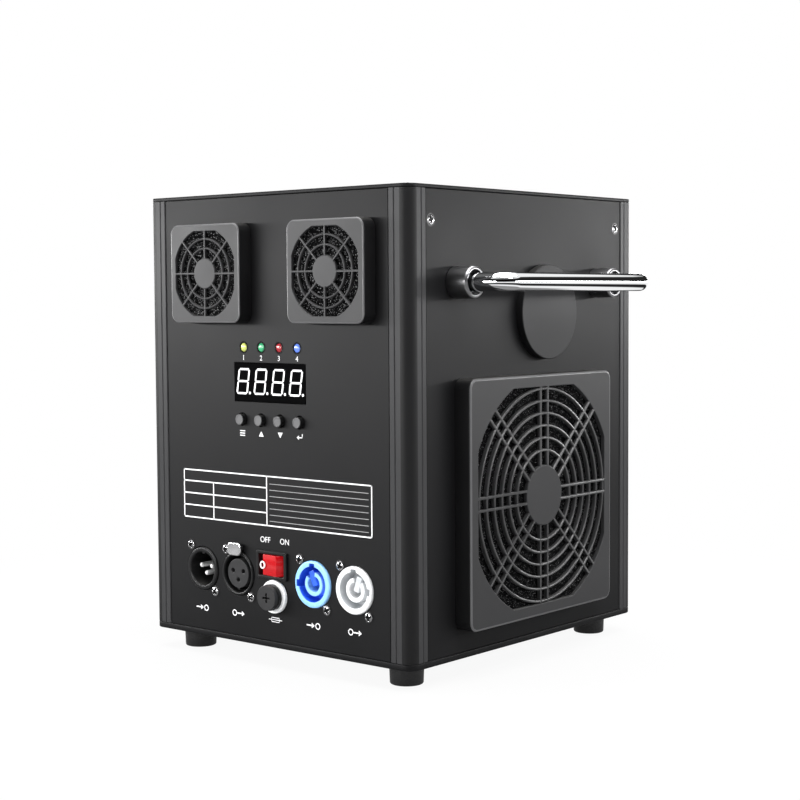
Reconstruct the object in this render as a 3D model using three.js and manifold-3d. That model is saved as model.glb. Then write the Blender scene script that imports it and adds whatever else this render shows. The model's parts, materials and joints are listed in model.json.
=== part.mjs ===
// A cold spark machine: a sheet-metal housing on four grooved corner posts, with three filtered
// fans, a control panel, plug sockets, two side handles, and the granule hopper, feed screw,
// heater and nozzle inside. Lengths are in millimetres, +Z is up, the control panel faces -Y,
// and the origin is on the ground under the middle of the whole object.
import * as THREE from "three";
import { mergeVertices } from "three/addons/utils/BufferGeometryUtils.js";
import Module from "manifold-3d";

// Housing
const bodyWidth = 186;
const bodyDepth = 200;
const bodyHeight = 237.2;
const cornerRadius = 6;
const coverThickness = 1.8;
const baseThickness = 3.2;
const sheetThickness = 1.5;
const panelInset = 0.4;
const panelJoint = 0.4;

// Fits and cuts
const seatGap = 0.2;
const runningGap = 0.3;
const shaftClearance = 0.1;
const overrun = 2;

// Corner posts
const postSide = 13.1;
const postFlangeReach = 9;
const postFlangeThickness = 2.5;
const postGussetReach = 9;
const postPortRadius = 1.6;
const postPortInset = 7.4;
const grooveInset = 3.6;
const grooveWidth = 0.9;
const grooveDepth = 0.4;

// Feet
const footHeight = 10.8;
const footRadius = 8.9;
const footInset = 18;
const footRounding = 0.9;
const footTaper = 0.4;
const footRecessRadius = 4.2;
const footRecessDepth = 5;

// Small fans and their filter guards, on the control panel
const smallFan = {
  side: 50,
  depth: 15,
  wall: 2,
  hub: 11,
  plate: 2.5,
  blades: 5,
  bladeThickness: 1.2,
  curveSteps: 1,
  corner: 4,
  flange: 7.5,
  strutWidth: 3,
  strutDepth: 2.2,
};
const smallGuard = {
  margin: 1,
  proud: 8.4,
  corner: 5,
  border: 3.8,
  bulge: 1.4,
  hub: 8.1,
  firstRing: 13.2,
  rings: 2,
  outerSlot: 4,
  bar: 1.1,
  spokeSpacing: 0,
  ribDepth: 1.6,
};
const leftFanInset = 52.7;
const rightFanInset = 47.5;
const smallFanDrop = 41.7;

// Large fan and its filter guard, on the right side
const largeFan = {
  side: 120,
  depth: 25,
  wall: 2.5,
  hub: 20,
  plate: 4,
  blades: 7,
  bladeThickness: 1.8,
  curveSteps: 2,
  corner: 6,
  flange: 5,
  strutWidth: 4.5,
  strutDepth: 3,
};
const largeGuard = {
  margin: 3.5,
  proud: 9.7,
  corner: 5,
  border: 6.5,
  bulge: 6,
  hub: 15.9,
  firstRing: 23.7,
  rings: 6,
  outerSlot: 1,
  bar: 1.4,
  spokeSpacing: 6.4,
  ribDepth: 2.2,
};
const largeFanMiddle = -1.4;
const largeFanLevel = 78.3;

// What every guard, filter and fan shares
const guardShell = 1.6;
const guardEdge = 0.7;
const foamThickness = 3.5;
const fanShaftRadius = 1.8;
const fanShaftLength = 1.6;
const bladeTipGap = 1;
const bladeChordShare = 0.86;
const bladeCamberShare = 0.14;
const bladeSlope = 0.75;
const bladeTwist = 0.35;

// Display, lamps and buttons
const windowWidth = 51;
const windowHeight = 20;
const windowMiddle = -1.8;
const windowDrop = 98.7;
const windowLip = 2;
const windowLipThickness = 1.2;
const windowProud = 0.2;
const lampCount = 4;
const lampRadius = 2.5;
const lampPitch = 12.85;
const lampMiddle = -1.3;
const lampDrop = 80.4;
const lampFlange = 0.8;
const lampFlangeThickness = 1.2;
const lampSink = 0.6;
const lampClearance = 0.4;
const buttonCount = 4;
const buttonRadius = 3;
const buttonPitch = 13.8;
const buttonMiddle = -1.3;
const buttonDrop = 118.4;
const buttonProud = 2.6;
const buttonTravel = 1;
const buttonClearance = 0.5;
const buttonCollar = 1.3;
const buttonCollarThickness = 1;
const buttonStemRadius = 1.8;
const buttonRounding = 0.5;

// Main board, behind the control panel
const boardWidth = 78;
const boardHeight = 60;
const boardThickness = 1.6;
const boardSetback = 8;
const boardDrop = 99.7;
const boardPostRadius = 3;
const boardPostInset = 5;
const keySwitchSide = 6;
const keySwitchHeight = 3.5;
const heatSinkWidth = 44;
const heatSinkHeight = 30;
const heatSinkBase = 3;
const heatSinkFinHeight = 10;
const heatSinkFinThickness = 1.6;
const heatSinkFinPitch = 14.1;

// Round data sockets
const rowWidth = bodyWidth - 2 * (postSide + postFlangeReach);
const socketShare = 0.18336;
const socketMargin = 1.3;
const socketFlangeWidth = rowWidth * socketShare;
const socketRadius = socketFlangeWidth / 2 - socketMargin;
const socketClearance = 0.3;
const socketProud = 0.5;
const socketFlangeHeight = 31;
const socketFlangeThickness = 2.4;
const socketDepth = 22;
const socketLevel = 36.5;
const terminalWidth = 12;
const terminalHeight = 3;
const terminalDepth = 5;
const dataInShare = -0.37659;
const dataOutShare = -0.18618;
const dataInWall = 2.7;
const dataOutWall = 1.7;
const dataOutMoat = 2.2;
const contactShare = 0.51282;
const contactRadius = 1.2;
const dataInBoreDepth = 15;
const dataInPinLength = 9.5;
const dataOutBoreDepth = 9;
const dataOutInsertInset = 0.6;
const dataOutHoleDepth = 8;
const latchWidth = 10.4;
const latchHeight = 7;
const latchOverlap = 1.8;
const latchThickness = 1.2;
const latchTravel = 1.2;
const latchStemWidth = 7;
const latchStemHeight = 2.4;
const latchStemDepth = 9;
const latchStemLift = 0.5;

// Locking power sockets
const powerInShare = 0.19746;
const powerOutShare = 0.39704;
const powerSocketMargin = 0.9;
const powerSocketProud = 0.9;
const powerSocketWall = 2.9;
const powerBoreDepth = 9;
const powerCollarGap = 3.2;
const powerCollarWall = 1.5;
const powerCollarInset = 1.4;
const powerCollarSlot = 4.4;
const powerKeyWidth = 3.2;
const powerKeyDepth = 1.5;

// Rocker switch
const switchShare = -0.00564;
const switchLevel = 43.4;
const bezelShare = 0.15374;
const bezelLip = 1;
const bezelHeight = 14.6;
const bezelProud = 1.6;
const switchDepth = 20;
const wellDepth = 12;
const wellWall = 1.1;
const switchEndWall = 1;
const rockerEndGap = 0.9;
const rockerHeight = 10.8;
const rockerPivotDepth = 3;
const rockerEndRise = 5.4;
const rockerMiddleRise = 4.2;
const rockerSkirtDrop = 4.2;
const rockerSkirtTaper = 2.6;
const rockerPinRadius = 1.2;
const rockerTilt = THREE.MathUtils.degToRad(8);

// Fuse holder
const fuseMiddle = 0.9;
const fuseLevel = 27.2;
const fuseFlangeRadius = 8.7;
const fuseFlangeThickness = 2;
const fuseBodyRadius = 6;
const fuseBodyDepth = 32;
const fuseEndWall = 1.5;
const fuseBore = 5;
const fuseCapRadius = 5.8;
const fuseCapHeight = 4.6;
const fuseCapStep = 0.7;
const fuseCapSlotLength = 7.2;
const fuseCapSlotWidth = 1.3;
const fuseCapSlotDepth = 1.3;
const fuseBarrelLength = 7;
const fuseRadius = 2.6;
const fuseLength = 20;

// Side handles, and the round cover on the right side
const handlePitch = 125.4;
const handleMiddle = -0.8;
const handleDrop = 47.6;
const handleReach = 30.7;
const handleBarRadius = 4.7;
const handleBend = 12;
const handleSocketDepth = 9;
const bossRadius = 8.1;
const bossLength = 12.5;
const bossRounding = 0.9;
const sideDiscThickness = 4.2;
const sideDiscMiddle = 12;
const sideDiscDrop = 38;
const sideDiscGap = 7.4;
const sideDiscEdge = 0.5;

// Nozzle and the heating core round its tube
const fittingsHeight = 12;
const nozzleBore = 12;
const nozzleWall = 3;
const nozzleRimHeight = 7;
const nozzleRimRadius = 17.5;
const nozzleRimTaper = 1;
const nozzleStart = 115.2;
const coreDrop = 22;
const coreLift = 9.2;
const coreSleeve = 2.5;
const coreBands = 3;
const coreBandShare = 0.53;
const coreBandDepth = 3;

// Granule hopper and its lid
const hopperInset = 51;
const hopperSetback = 54;
const hopperBore = 22;
const hopperWall = 1.5;
const hopperRimRadius = 27;
const hopperRimThickness = 2.5;
const hopperStraight = 48;
const spoutBore = 5.5;
const spoutLength = 5;
const lidRadius = 25;
const lidThickness = 3;
const lidEdge = 0.8;
const lidPlugInset = 1;
const lidPlugWall = 1.6;
const lidPlugDepth = 2.2;
const knobRadius = 7;
const knobWaist = 4.5;
const knobRim = 2.2;
const hingeReach = 30.5;
const hingeRadius = 2.2;
const hingeWidth = 13;
const hingeLugWidth = 3;
const hingePinRadius = 1.2;

// Feed tube, screw and geared motor, from under the hopper to the nozzle's tube
const feedRise = 12;
const feedBore = 6.5;
const feedWall = 2.5;
const feedOverhang = 14;
const feedEndWall = 2;
const feedInletRadius = 9;
const feedInletHeight = 13;
const screwShaftRadius = 2.4;
const screwFlightThickness = 1.8;
const screwLead = 22;
const screwEndGap = 1.5;
const screwStub = 5;
const motorGearRadius = 12.5;
const motorGearLength = 13;
const motorCanRadius = 10.5;
const motorCanLength = 12;

// Blower under the nozzle's tube
const blowerThickness = 32;
const blowerWall = 2;
const blowerFoot = 4;
const blowerFootWidth = 44;
const blowerScrollStart = 30;
const blowerScrollEnd = 42;
const blowerDuctWidth = 28;
const blowerTongueAngle = Math.PI / 3;
const blowerInletRadius = 19;
const blowerMotorRadius = 14;
const blowerMotorLength = 12;
const impellerRadius = 26.5;
const impellerBladeDepth = 6;
const impellerBladeThickness = 1.4;
const impellerBladeLean = 2;
const impellerBlades = 8;
const impellerRing = 1.6;
const impellerSideGap = 1.2;
const impellerHubRadius = 8;
const impellerShaftRadius = 2;

// Counts of facets
const ringSides = 24;
const roundSides = 12;
const tinySides = 8;
const cornerSteps = 4;
const shortCornerSteps = 2;
const domeSteps = 2;
const bendSteps = 4;
const gapSteps = 2;
const bladeSteps = 2;
const screwStepsPerTurn = 4;
const scrollSteps = 10;

// Levels above the ground, and depths from the housing's outer faces
const bodyTop = footHeight + bodyHeight;
const coverUnderside = bodyTop - coverThickness;
const coverSeat = bodyTop + seatGap;
const baseTop = footHeight + baseThickness;
const panelFace = -panelInset;
const panelBack = panelFace - sheetThickness;
const frontSeat = panelFace + seatGap;
const backSeat = panelBack - seatGap;
const originShift = smallGuard.proud / 2;
const hopperAcross = hopperInset - bodyWidth / 2;
const hopperBack = bodyDepth / 2 - hopperSetback;

const wasm = await Module();
wasm.setup();

// Solids

// A closed geometry as a solid for cutting and joining, without the slivers at a lathe's poles.
function solidOf(geometry) {
  const bare = geometry.clone();
  bare.deleteAttribute("normal");
  bare.deleteAttribute("uv");
  const merged = mergeVertices(bare);
  const corners = merged.index.array;
  const kept = [];
  for (let i = 0; i < corners.length; i += 3) {
    const [a, b, c] = [corners[i], corners[i + 1], corners[i + 2]];
    if (a !== b && b !== c && c !== a) kept.push(a, b, c);
  }
  return new wasm.Manifold(
    new wasm.Mesh({
      numProp: 3,
      vertProperties: merged.attributes.position.array,
      triVerts: new Uint32Array(kept),
    }),
  );
}

function geometryOf(solid) {
  const mesh = solid.getMesh();
  const geometry = new THREE.BufferGeometry();
  geometry.setAttribute("position", new THREE.BufferAttribute(mesh.vertProperties, 3));
  geometry.setIndex(new THREE.BufferAttribute(mesh.triVerts, 1));
  return geometry;
}

const join = (...pieces) =>
  geometryOf(pieces.map(solidOf).reduce((whole, next) => whole.add(next)));
const cut = (blank, ...tools) =>
  geometryOf(tools.map(solidOf).reduce((left, tool) => left.subtract(tool), solidOf(blank)));
const common = (one, other) => geometryOf(solidOf(one).intersect(solidOf(other)));

// Outlines, and the forms made from them between two heights along their own Z

const range = (count) => Array.from({ length: count }, (_, i) => i);
const centred = (count, pitch) => range(count).map((i) => (i - (count - 1) / 2) * pitch);
const pathOf = (points) => points.map(([x, y]) => new THREE.Vector2(x, y));

function circle(radius, sides = roundSides, x = 0, y = 0) {
  return range(sides).map((i) => {
    const angle = ((i + 0.5) / sides) * 2 * Math.PI;
    return [x + radius * Math.cos(angle), y + radius * Math.sin(angle)];
  });
}

function rectangle(width, height, x = 0, y = 0) {
  const [a, b] = [width / 2, height / 2];
  return [[x - a, y - b], [x + a, y - b], [x + a, y + b], [x - a, y + b]];
}

function rounded(width, height, radius, steps = cornerSteps) {
  const points = [];
  for (const [quarter, [sx, sy]] of [[1, 1], [-1, 1], [-1, -1], [1, -1]].entries()) {
    for (const step of range(steps + 1)) {
      const angle = ((quarter + step / steps) * Math.PI) / 2;
      points.push([
        sx * (width / 2 - radius) + radius * Math.cos(angle),
        sy * (height / 2 - radius) + radius * Math.sin(angle),
      ]);
    }
  }
  return points;
}

function prism(points, low, high, holes = []) {
  const shape = new THREE.Shape(pathOf(points));
  shape.holes = holes.map((hole) => new THREE.Path(pathOf(hole)));
  const geometry = new THREE.ExtrudeGeometry(shape, { depth: high - low, bevelEnabled: false });
  return geometry.translate(0, 0, low);
}

const rod = (radius, low, high, x = 0, y = 0, sides = roundSides) =>
  prism(circle(radius, sides, x, y), low, high);
// The radius of a hole whose flats clear the corners of the shaft that turns in it.
const turningHole = (shaft) => (shaft + shaftClearance) / Math.cos(Math.PI / tinySides);
const block = (width, height, low, high, x = 0, y = 0) =>
  prism(rectangle(width, height, x, y), low, high);

// A solid of revolution about Z: the profile lists [radius, height] from the foot to the top,
// with its outer side on the right.
function turned(profile, sides = roundSides) {
  const geometry = new THREE.LatheGeometry(pathOf(profile), sides, Math.PI / sides);
  return geometry.rotateX(Math.PI / 2);
}

// Assembly

const machine = new THREE.Group();
machine.position.y = originShift;

function add(parent, name, geometry, finish, x = 0, y = 0, z = 0) {
  const mesh = new THREE.Mesh(geometry, new THREE.MeshStandardMaterial(finish));
  mesh.name = name;
  mesh.position.set(x, y, z);
  parent.add(mesh);
  return mesh;
}

// A side of the housing as a frame of its own: X runs to the right along the side as seen from
// outside, Y runs up from the base plate's underside, and Z points out of the corner posts' flats.
function sideFrame(quarterTurns, reach) {
  const around = new THREE.Group();
  around.rotation.z = (quarterTurns * Math.PI) / 2;
  const side = new THREE.Group();
  side.rotation.x = Math.PI / 2;
  side.position.set(0, -reach, footHeight);
  around.add(side);
  machine.add(around);
  return side;
}

const front = sideFrame(0, bodyDepth / 2);
const right = sideFrame(1, bodyWidth / 2);
const rear = sideFrame(2, bodyDepth / 2);
const left = sideFrame(3, bodyWidth / 2);

const finishes = {
  paint: { color: 0x3a3a3c, roughness: 0.5, metalness: 0.1 },
  extrusion: { color: 0x4a4a4c, roughness: 0.42, metalness: 0.5 },
  guard: { color: 0x47474a, roughness: 0.5, metalness: 0 },
  foam: { color: 0x0c0c0d, roughness: 1, metalness: 0 },
  fan: { color: 0x141416, roughness: 0.55, metalness: 0 },
  rubber: { color: 0x1b1b1c, roughness: 0.4, metalness: 0 },
  chrome: { color: 0xe6e8ea, roughness: 0.08, metalness: 1 },
  blackChrome: { color: 0x3b3c3f, roughness: 0.12, metalness: 1 },
  steel: { color: 0xa9acb0, roughness: 0.3, metalness: 1 },
  blackPlastic: { color: 0x2a2a2c, roughness: 0.4, metalness: 0 },
  window: { color: 0x050506, roughness: 0.05, metalness: 0 },
  board: { color: 0x1f5a34, roughness: 0.6, metalness: 0 },
  blue: { color: 0x3f7fe0, roughness: 0.35, metalness: 0 },
  white: { color: 0xdfe2e6, roughness: 0.35, metalness: 0 },
  red: { color: 0xc01418, roughness: 0.25, metalness: 0 },
  ceramic: { color: 0xc9c2b2, roughness: 0.8, metalness: 0 },
  aluminium: { color: 0xb8bbbf, roughness: 0.4, metalness: 1 },
};
const lampColours = [0xb9d21a, 0x24b04a, 0xc8202a, 0x3a62d8];

// Housing

// The outline of a corner post, alike on both sides of its diagonal, with its outer corner at
// 0,0 and the machine towards -X and -Y: a rounded nose, a grooved flat, a flange behind the
// panel, and a gusset that carries a screw port.
function postOutline() {
  const half = range(cornerSteps / 2 + 1).map((step) => {
    const angle = Math.PI / 4 - ((step / cornerSteps) * Math.PI) / 2;
    return [cornerRadius * (Math.cos(angle) - 1), cornerRadius * (Math.sin(angle) - 1)];
  });
  const groove = grooveInset - postSide;
  const inner = backSeat - postFlangeThickness;
  half.push(
    [0, groove + grooveWidth / 2],
    [-grooveDepth, groove],
    [0, groove - grooveWidth / 2],
    [0, -postSide],
    [backSeat, -postSide],
    [backSeat, -postSide - postFlangeReach],
    [inner, -postSide - postFlangeReach],
    [inner, inner - postGussetReach],
  );
  const mirrored = half.map(([x, y]) => [y, x]).reverse();
  return [...half, ...mirrored.slice(0, -1)];
}

function addPosts() {
  const port = circle(postPortRadius, tinySides, -postPortInset, -postPortInset);
  const post = prism(postOutline(), baseTop + seatGap, coverUnderside - seatGap, [port]);
  const corners = [
    ["corner_post_rear_right", 1, 1, 0],
    ["corner_post_rear_left", -1, 1, 1],
    ["corner_post_front_left", -1, -1, 2],
    ["corner_post_front_right", 1, -1, 3],
  ];
  for (const [name, sideX, sideY, quarterTurns] of corners) {
    const x = (sideX * bodyWidth) / 2;
    const y = (sideY * bodyDepth) / 2;
    const mesh = add(machine, name, post, finishes.extrusion, x, y, 0);
    mesh.rotation.z = (quarterTurns * Math.PI) / 2;
  }
}

function addPlates() {
  const outline = rounded(bodyWidth, bodyDepth, cornerRadius);
  const nozzleHole = circle(nozzleBore + nozzleWall + runningGap);
  const hopperHole = circle(hopperBore + hopperWall + runningGap, roundSides, hopperAcross, hopperBack);
  const cover = prism(outline, coverUnderside, bodyTop, [nozzleHole, hopperHole]);
  add(machine, "top_cover", cover, finishes.paint);
  add(machine, "base_plate", prism(outline, footHeight, baseTop), finishes.paint);
}

function addFeet() {
  const footTop = footHeight - seatGap;
  const foot = turned([
    [0, footRecessDepth],
    [footRecessRadius, footRecessDepth],
    [footRecessRadius, 0],
    [footRadius - footTaper - footRounding, 0],
    [footRadius - footTaper, footRounding],
    [footRadius, footTop],
    [0, footTop],
  ]);
  for (const [depthName, sideY] of [["front", -1], ["rear", 1]]) {
    for (const [sideName, sideX] of [["left", -1], ["right", 1]]) {
      const x = sideX * (bodyWidth / 2 - footInset);
      const y = sideY * (bodyDepth / 2 - footInset);
      add(machine, `foot_${depthName}_${sideName}`, foot, finishes.rubber, x, y, 0);
    }
  }
}

const smallFanPlaces = [leftFanInset - bodyWidth / 2, bodyWidth / 2 - rightFanInset];
const smallFanLevel = bodyHeight - smallFanDrop;
const windowLevel = bodyHeight - windowDrop;
const lampLevel = bodyHeight - lampDrop;
const buttonLevel = bodyHeight - buttonDrop;
const boardLevel = bodyHeight - boardDrop;
const lampPlaces = centred(lampCount, lampPitch).map((x) => x + lampMiddle);
const buttonPlaces = centred(buttonCount, buttonPitch).map((x) => x + buttonMiddle);
const latchStemLow = socketRadius + runningGap + latchStemLift;
const latchStemTop = latchStemLow + latchStemHeight;
const dataInMiddle = rowWidth * dataInShare;
const dataOutMiddle = rowWidth * dataOutShare;
const powerInMiddle = rowWidth * powerInShare;
const powerOutMiddle = rowWidth * powerOutShare;
const powerSocketRadius = socketFlangeWidth / 2 - powerSocketMargin;
const switchMiddle = rowWidth * switchShare;
const bezelWidth = rowWidth * bezelShare;
const switchBodyWidth = bezelWidth - 2 * bezelLip;
const wellWidth = switchBodyWidth - 2 * switchEndWall;
const rockerWidth = wellWidth - 2 * rockerEndGap;
const wellHeight = rockerHeight + 2 * runningGap;
const switchBodyHeight = wellHeight + 2 * wellWall;

// A panel between two posts, from the base plate to the top cover.
function panel(width, holes = []) {
  const across = width - 2 * (postSide + panelJoint);
  const low = baseThickness + seatGap;
  const high = bodyHeight - coverThickness - seatGap;
  return prism(rectangle(across, high - low, 0, (low + high) / 2), panelBack, panelFace, holes);
}

const fanHole = (fan, x, y) => circle(fan.side / 2 - fan.wall, roundSides, x, y);

function addPanels() {
  const socketHole = (x, radius) => circle(radius + socketClearance, roundSides, x, socketLevel);
  const holes = [
    rectangle(windowWidth + 2 * runningGap, windowHeight + 2 * runningGap, windowMiddle, windowLevel),
    rectangle(switchBodyWidth + 2 * seatGap, switchBodyHeight + 2 * seatGap, switchMiddle, switchLevel),
    circle(fuseBodyRadius + seatGap, roundSides, fuseMiddle, fuseLevel),
    socketHole(dataInMiddle, socketRadius),
    socketHole(powerInMiddle, powerSocketRadius),
    socketHole(powerOutMiddle, powerSocketRadius),
    ...smallFanPlaces.map((x) => fanHole(smallFan, x, smallFanLevel)),
    ...lampPlaces.map((x) => circle(lampRadius + lampClearance, tinySides, x, lampLevel)),
    ...buttonPlaces.map((x) => circle(buttonRadius + buttonClearance, tinySides, x, buttonLevel)),
  ];
  const [low, high] = [panelBack - overrun, panelFace + overrun];
  const slotTop = latchStemTop + runningGap;
  const slotWidth = latchStemWidth + 2 * runningGap;
  const slot = block(slotWidth, slotTop, low, high, dataOutMiddle, socketLevel + slotTop / 2);
  const round = rod(socketRadius + socketClearance, low, high, dataOutMiddle, socketLevel);
  add(front, "control_panel", cut(panel(bodyWidth, holes), slot, round), finishes.paint);

  const intake = fanHole(largeFan, largeFanMiddle, largeFanLevel);
  add(right, "right_panel", panel(bodyDepth, [intake]), finishes.paint);
  add(left, "left_panel", panel(bodyDepth), finishes.paint);
  add(rear, "rear_panel", panel(bodyWidth), finishes.paint);
}

// Filter guards and foam
// A guard stands on its panel: Z = 0 is its open back, and its face is a grille of rings and
// spokes round a plain hub, inside a round opening with flattened sides.

const guardSide = (fan, guard) => fan.side + 2 * guard.margin;
const guardDepth = (guard) => guard.proud - frontSeat;

function guardBody(side, depth, corner) {
  const inner = side - 2 * guardEdge;
  const shape = new THREE.Shape(pathOf(rounded(inner, inner, corner - guardEdge, shortCornerSteps)));
  const blank = new THREE.ExtrudeGeometry(shape, {
    depth: depth - guardEdge,
    bevelEnabled: true,
    bevelSegments: 1,
    bevelSize: guardEdge,
    bevelThickness: guardEdge,
  });
  return cut(blank, block(side + overrun, side + overrun, -overrun, 0));
}

// The gaps between two rings: one between each two spokes, and one inside each pair of spokes.
function grilleGaps(guard, inner, outer, low, high) {
  const at = (radius, angle) => [radius * Math.cos(angle), radius * Math.sin(angle)];
  const octant = Math.PI / 4;
  const offset = guard.spokeSpacing / 2 + guard.bar / 2;
  const inPair = guard.spokeSpacing / 2 - guard.bar / 2;
  const arc = (radius) => {
    const side = Math.asin(offset / radius);
    const between = range(gapSteps - 1).map((step) => ((step + 1) / gapSteps) * octant);
    return [side, ...between, octant - side].map((angle) => at(radius, angle));
  };
  const wide = prism([...arc(outer), ...arc(inner).reverse()], low, high);
  const gaps = range(8).map((turn) => wide.clone().rotateZ(turn * octant));
  if (inPair > 0) {
    const [near, far] = [Math.sqrt(inner ** 2 - inPair ** 2), Math.sqrt(outer ** 2 - inPair ** 2)];
    const narrow = block(far - near, 2 * inPair, low, high, (near + far) / 2, 0);
    gaps.push(...range(8).map((turn) => narrow.clone().rotateZ(turn * octant)));
  }
  return gaps;
}

function filterGuard(fan, guard) {
  const side = guardSide(fan, guard);
  const depth = guardDepth(guard);
  const half = side / 2 - guard.border;
  const floor = depth - guard.ribDepth;
  const inside = side - 2 * guardShell;
  const pocket = block(inside, inside, -overrun, floor);
  const [low, high] = [floor - overrun, depth + overrun];
  const mouth = common(
    rod(half + guard.bulge, low, high, 0, 0, ringSides),
    block(2 * half, 2 * half, low, high),
  );
  const pitch = (half - guard.outerSlot - guard.firstRing) / (guard.rings - 1);
  const rings = range(guard.rings).map((ring) => guard.firstRing + ring * pitch);
  const inners = [guard.hub, ...rings.map((radius) => radius + guard.bar / 2)];
  const outers = rings.map((radius) => radius - guard.bar / 2);
  const gaps = outers.flatMap((outer, i) => grilleGaps(guard, inners[i], outer, low, high));
  const rimGaps = grilleGaps(guard, inners[guard.rings], side, low, high);
  const openings = join(...gaps, common(join(...rimGaps), mouth));
  return cut(guardBody(side, depth, guard.corner), pocket, openings);
}

function filterFoam(fan, guard) {
  const top = guardDepth(guard) - guard.ribDepth - seatGap;
  const side = guardSide(fan, guard) - 2 * (guardShell + runningGap);
  return block(side, side, top - foamThickness, top);
}

// Axial fans
// Z = 0 is the face against the panel, and the air passes along Z.

function fanFrame(fan) {
  const { side, depth, wall, hub, plate, corner, flange, strutWidth, strutDepth } = fan;
  const outline = rounded(side, side, corner, shortCornerSteps);
  const body = join(
    prism(outline, -flange, 0),
    prism(outline, -depth, flange - depth),
    rod(side / 2, -depth, 0),
  );
  const duct = cut(body, rod(side / 2 - wall, -depth - overrun, overrun));
  const struts = range(2).map((turn) => {
    const bar = block(side - wall, strutWidth, -depth, strutDepth - depth);
    return bar.rotateZ(Math.PI / 4 + (turn * Math.PI) / 2);
  });
  const socket = rod(turningHole(fanShaftRadius), plate / 4 - depth, overrun, 0, 0, tinySides);
  const carrier = rod(hub, -depth, plate - depth);
  return cut(join(duct, carrier, ...struts), socket);
}

// A blade as a cambered plate from the hub to the tip, which flattens along the way.
function fanBlade(root, tip, chord, thickness, middle, curveSteps) {
  const camber = chord * bladeCamberShare;
  const section = new THREE.Shape();
  section.moveTo(-chord / 2, -thickness / 2);
  section.quadraticCurveTo(0, camber - thickness / 2, chord / 2, -thickness / 2);
  section.lineTo(chord / 2, thickness / 2);
  section.quadraticCurveTo(0, camber + thickness / 2, -chord / 2, thickness / 2);
  const blade = new THREE.ExtrudeGeometry(section, {
    depth: tip - root,
    steps: bladeSteps,
    curveSegments: curveSteps,
    bevelEnabled: false,
  });
  const place = blade.attributes.position;
  for (const i of range(place.count)) {
    const [along, across, out] = [place.getX(i), place.getY(i), place.getZ(i)];
    const angle = bladeSlope - (bladeTwist * out) / (tip - root);
    const lateral = along * Math.cos(angle) - across * Math.sin(angle);
    const axial = along * Math.sin(angle) + across * Math.cos(angle);
    place.setXYZ(i, root + out, lateral, middle + axial);
  }
  return blade;
}

function fanRotor(fan) {
  const low = fan.plate + runningGap - fan.depth;
  const high = -bladeTipGap;
  const root = fan.hub - fan.bladeThickness;
  const chord = ((high - low) * bladeChordShare) / Math.sin(bladeSlope);
  const reach = (fan.side / 2 - fan.wall) * Math.cos(Math.PI / roundSides) - bladeTipGap;
  const tip = Math.sqrt(reach ** 2 - (chord / 2) ** 2);
  const blade = fanBlade(root, tip, chord, fan.bladeThickness, (low + high) / 2, fan.curveSteps);
  const blades = range(fan.blades).map((i) => blade.clone().rotateZ((i * 2 * Math.PI) / fan.blades));
  const hub = rod(fan.hub, low, high);
  const shaft = rod(fanShaftRadius, low - fanShaftLength, low + fan.bladeThickness, 0, 0, tinySides);
  return join(hub, shaft, ...blades);
}

function addFan(side, prefix, x, y, fan, guard) {
  add(side, `${prefix}_fan_frame`, fanFrame(fan), finishes.fan, x, y, backSeat);
  add(side, `${prefix}_fan_rotor`, fanRotor(fan), finishes.fan, x, y, backSeat);
  add(side, `${prefix}_filter_guard`, filterGuard(fan, guard), finishes.guard, x, y, frontSeat);
  add(side, `${prefix}_filter_foam`, filterFoam(fan, guard), finishes.foam, x, y, frontSeat);
}

function addFans() {
  addFan(front, "left", smallFanPlaces[0], smallFanLevel, smallFan, smallGuard);
  addFan(front, "right", smallFanPlaces[1], smallFanLevel, smallFan, smallGuard);
  addFan(right, "side", largeFanMiddle, largeFanLevel, largeFan, largeGuard);
}

// Main board, display window, lamps and buttons

const boardFace = panelBack - boardSetback;
const boardBack = boardFace - boardThickness;
const windowBack = backSeat - windowLipThickness;
const keyTop = boardFace + keySwitchHeight;

function mainBoard() {
  const parts = [block(boardWidth, boardHeight, boardBack, boardFace, windowMiddle, boardLevel)];
  const postX = boardWidth / 2 - boardPostInset;
  const postY = boardHeight / 2 - boardPostInset;
  for (const x of [windowMiddle - postX, windowMiddle + postX]) {
    for (const y of [boardLevel - postY, boardLevel + postY]) {
      parts.push(rod(boardPostRadius, boardBack, backSeat, x, y, tinySides));
    }
  }
  const display = windowBack - seatGap;
  parts.push(block(windowWidth, windowHeight, boardBack, display, windowMiddle, windowLevel));
  for (const x of buttonPlaces) {
    parts.push(block(keySwitchSide, keySwitchSide, boardBack, keyTop, x, buttonLevel));
  }
  const sinkFace = boardBack - heatSinkBase;
  parts.push(block(heatSinkWidth, heatSinkHeight, sinkFace, boardFace, windowMiddle, boardLevel));
  const fins = Math.floor((heatSinkWidth - heatSinkFinThickness) / heatSinkFinPitch) + 1;
  for (const offset of centred(fins, heatSinkFinPitch)) {
    const tip = sinkFace - heatSinkFinHeight;
    const x = windowMiddle + offset;
    parts.push(block(heatSinkFinThickness, heatSinkHeight, tip, boardFace, x, boardLevel));
  }
  return join(...parts);
}

function displayWindow() {
  const width = windowWidth + 2 * windowLip;
  const height = windowHeight + 2 * windowLip;
  const front = panelFace + windowProud;
  return join(
    block(windowWidth, windowHeight, windowBack, front, windowMiddle, windowLevel),
    block(width, height, windowBack, backSeat, windowMiddle, windowLevel),
  );
}

function statusLamp() {
  const rise = panelFace - lampSink - backSeat;
  const dome = range(domeSteps).map((step) => {
    const angle = ((step / domeSteps) * Math.PI) / 2;
    return [lampRadius * Math.cos(angle), backSeat + rise * Math.sin(angle)];
  });
  return turned([
    [0, boardFace + seatGap],
    [lampRadius, boardFace + seatGap],
    [lampRadius, backSeat - lampFlangeThickness],
    [lampRadius + lampFlange, backSeat - lampFlangeThickness],
    [lampRadius + lampFlange, backSeat],
    ...dome,
    [0, backSeat + rise],
  ], tinySides);
}

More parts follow.
